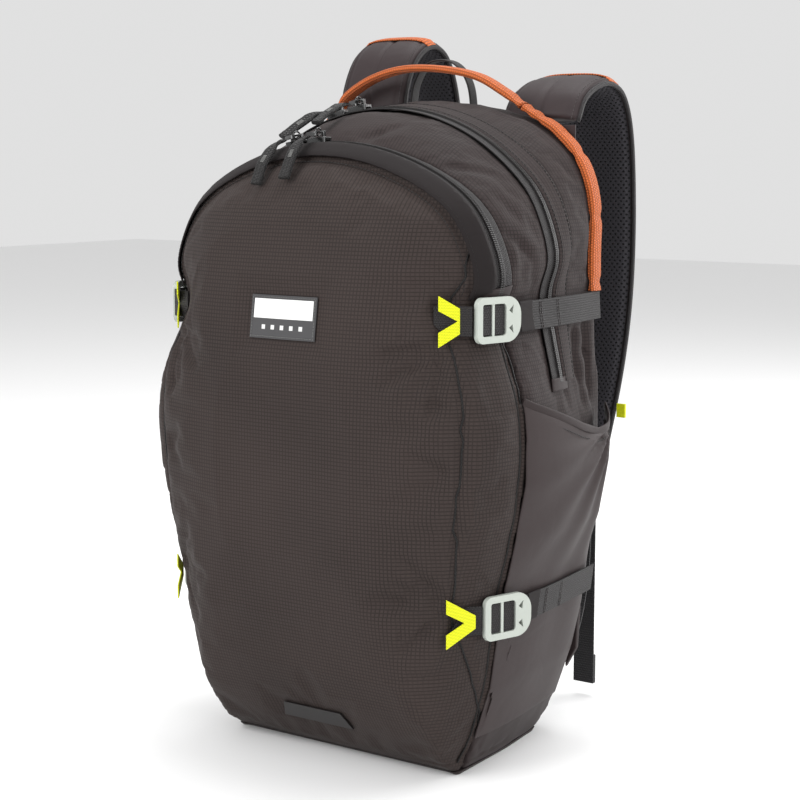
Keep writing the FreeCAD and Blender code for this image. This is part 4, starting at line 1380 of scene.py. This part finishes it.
# ---- side pockets ----------------------------------------------------------------------------------------
def side_pocket(word, side):
    """An open pocket of stretch fabric with a rolled hem and folds that run from its rear corner."""
    node = f"side_pocket_{word}"
    tree = bvh_of(node_copy(node))
    low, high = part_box(node)
    rows = []
    hem = []
    along = 64
    for i in range(along + 1):
        y = low[1] + 0.0016 + (high[1] - low[1] - 0.0032) * i / along
        top = None
        z = high[2]
        while z > 0.24:
            if side_hit(tree, side, y, z)[0] is not None:
                top = z
                break
            z -= 0.0008
        if top is None:
            continue
        row = []
        bottom = low[2] + 0.001
        for j in range(57):
            height = bottom + (top - bottom) * j / 56
            hit = side_hit(tree, side, y, height)[0]
            if hit is None:
                hit = tree.find_nearest(Vector((side * 0.5, y, height)))[0]
            rear = Vector((0, 0.084, 0.272))
            way = Vector((0, y, height)) - rear
            span = way.length
            spread = math.atan2(-way.y, -way.z)
            fold = math.sin(spread * 15.0 + 0.8) * math.exp(-span / 0.075) * min(span / 0.02, 1.0)
            slack = min(1.0, (top - height) / 0.01 + 0.3)
            row.append(hit + Vector((side, 0, 0)) * (-0.0006 + 0.0036 * fold * slack))
        rows.append(row)
        hem.append(row[-1].copy())
    cloth = strip(f"pocket_cloth_{word}", rows, "stretch_fabric", "bag", 0.0011, -side)
    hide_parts(node)
    swept(f"pocket_hem_{word}", smooth_path(hem[::4], 90), Vector((0, 0, 1)),
          lambda i: rounded_section(0.0062, 0.0019, 3.0, 14), "base_fabric", "bag")
    ups = [Vector((side, 0, 0))] * len(hem)
    under_hem = [p - Vector((-side * 0.0003, 0, 0.0085)) for p in hem]
    stitches(f"pocket_stitches_{word}", [(under_hem, ups)], "seam_thread", "bag")


for word, s in SIDES:
    side_pocket(word, s)


# ---- back panel ------------------------------------------------------------------------------------------
def back_pads():
    bm = applied(remeshed(node_copy("back_panel"), 0.0032))
    for _ in range(6):
        relaxed(bm)
    for vert in bm.verts:
        vert.co.y += 0.0010 * noise.noise(vert.co * 30.0) if vert.co.y > 0.100 else 0.0
        vert.co.y = min(vert.co.y, 0.1095)
    bm.normal_update()
    box_uv(bm)
    pads = finished("back_pads", bm, "back_mesh", "bag")
    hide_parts("back_panel")


back_pads()

# ---- nodes that stay as they are -------------------------------------------------------------------------
for node, paint in (("frame_sheet", "frame_plastic"), ("laptop_sleeve", "base_fabric")):
    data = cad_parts[node].data
    if not data.materials:
        data.materials.append(None)
    for k in range(len(data.materials)):
        data.materials[k] = MATERIALS[paint]

# ---- camera, floor and lights ----------------------------------------------------------------------------
def look(at, towards):
    aim = bpy.data.objects.new("camera", bpy.data.cameras.new("camera"))
    bpy.context.scene.collection.objects.link(aim)
    aim.location = at
    aim.rotation_euler = Vector(towards).to_track_quat("-Z", "Y").to_euler()
    aim.data.sensor_width = 36.0
    aim.data.lens = 81.0
    aim.data.clip_start = 0.05
    bpy.context.scene.camera = aim


look((0.8605, -1.1833, 0.487), (-0.5737, 0.8073, -0.1383))


def area_light(name, at, size, power, target=(0, 0, 0.27)):
    lamp = bpy.data.lights.new(name, "AREA")
    lamp.shape = "RECTANGLE"
    lamp.size, lamp.size_y = size
    lamp.energy = power
    holder = bpy.data.objects.new(name, lamp)
    bpy.context.scene.collection.objects.link(holder)
    holder.location = at
    holder.rotation_euler = (Vector(target) - Vector(at)).to_track_quat("-Z", "Y").to_euler()


area_light("key_light", (-0.9, -2.2, 1.7), (1.6, 1.6), 50)
area_light("fill_light", (2.3, -0.9, 1.0), (1.4, 1.8), 26)
area_light("top_light", (0.1, 0.5, 2.2), (1.8, 1.2), 34)
area_light("rim_light", (1.2, 2.2, 1.0), (1.2, 1.6), 34)


def pale_floor():
    bm = bmesh.new()
    bmesh.ops.create_grid(bm, x_segments=2, y_segments=2, size=6.0)
    mesh = bpy.data.meshes.new("floor")
    bm.to_mesh(mesh)
    bm.free()
    floor = bpy.data.objects.new("floor", mesh)
    bpy.context.scene.collection.objects.link(floor)
    paint = material("floor_paint", (0.86, 0.86, 0.86), 0.85)
    mesh.materials.append(paint)


pale_floor()
bpy.context.scene.view_settings.view_transform = "Standard"
world = bpy.data.worlds.new("studio")
world.use_nodes = True
world.node_tree.nodes["Background"].inputs[0].default_value = (1, 1, 1, 1)
world.node_tree.nodes["Background"].inputs[1].default_value = 0.75
bpy.context.scene.world = world
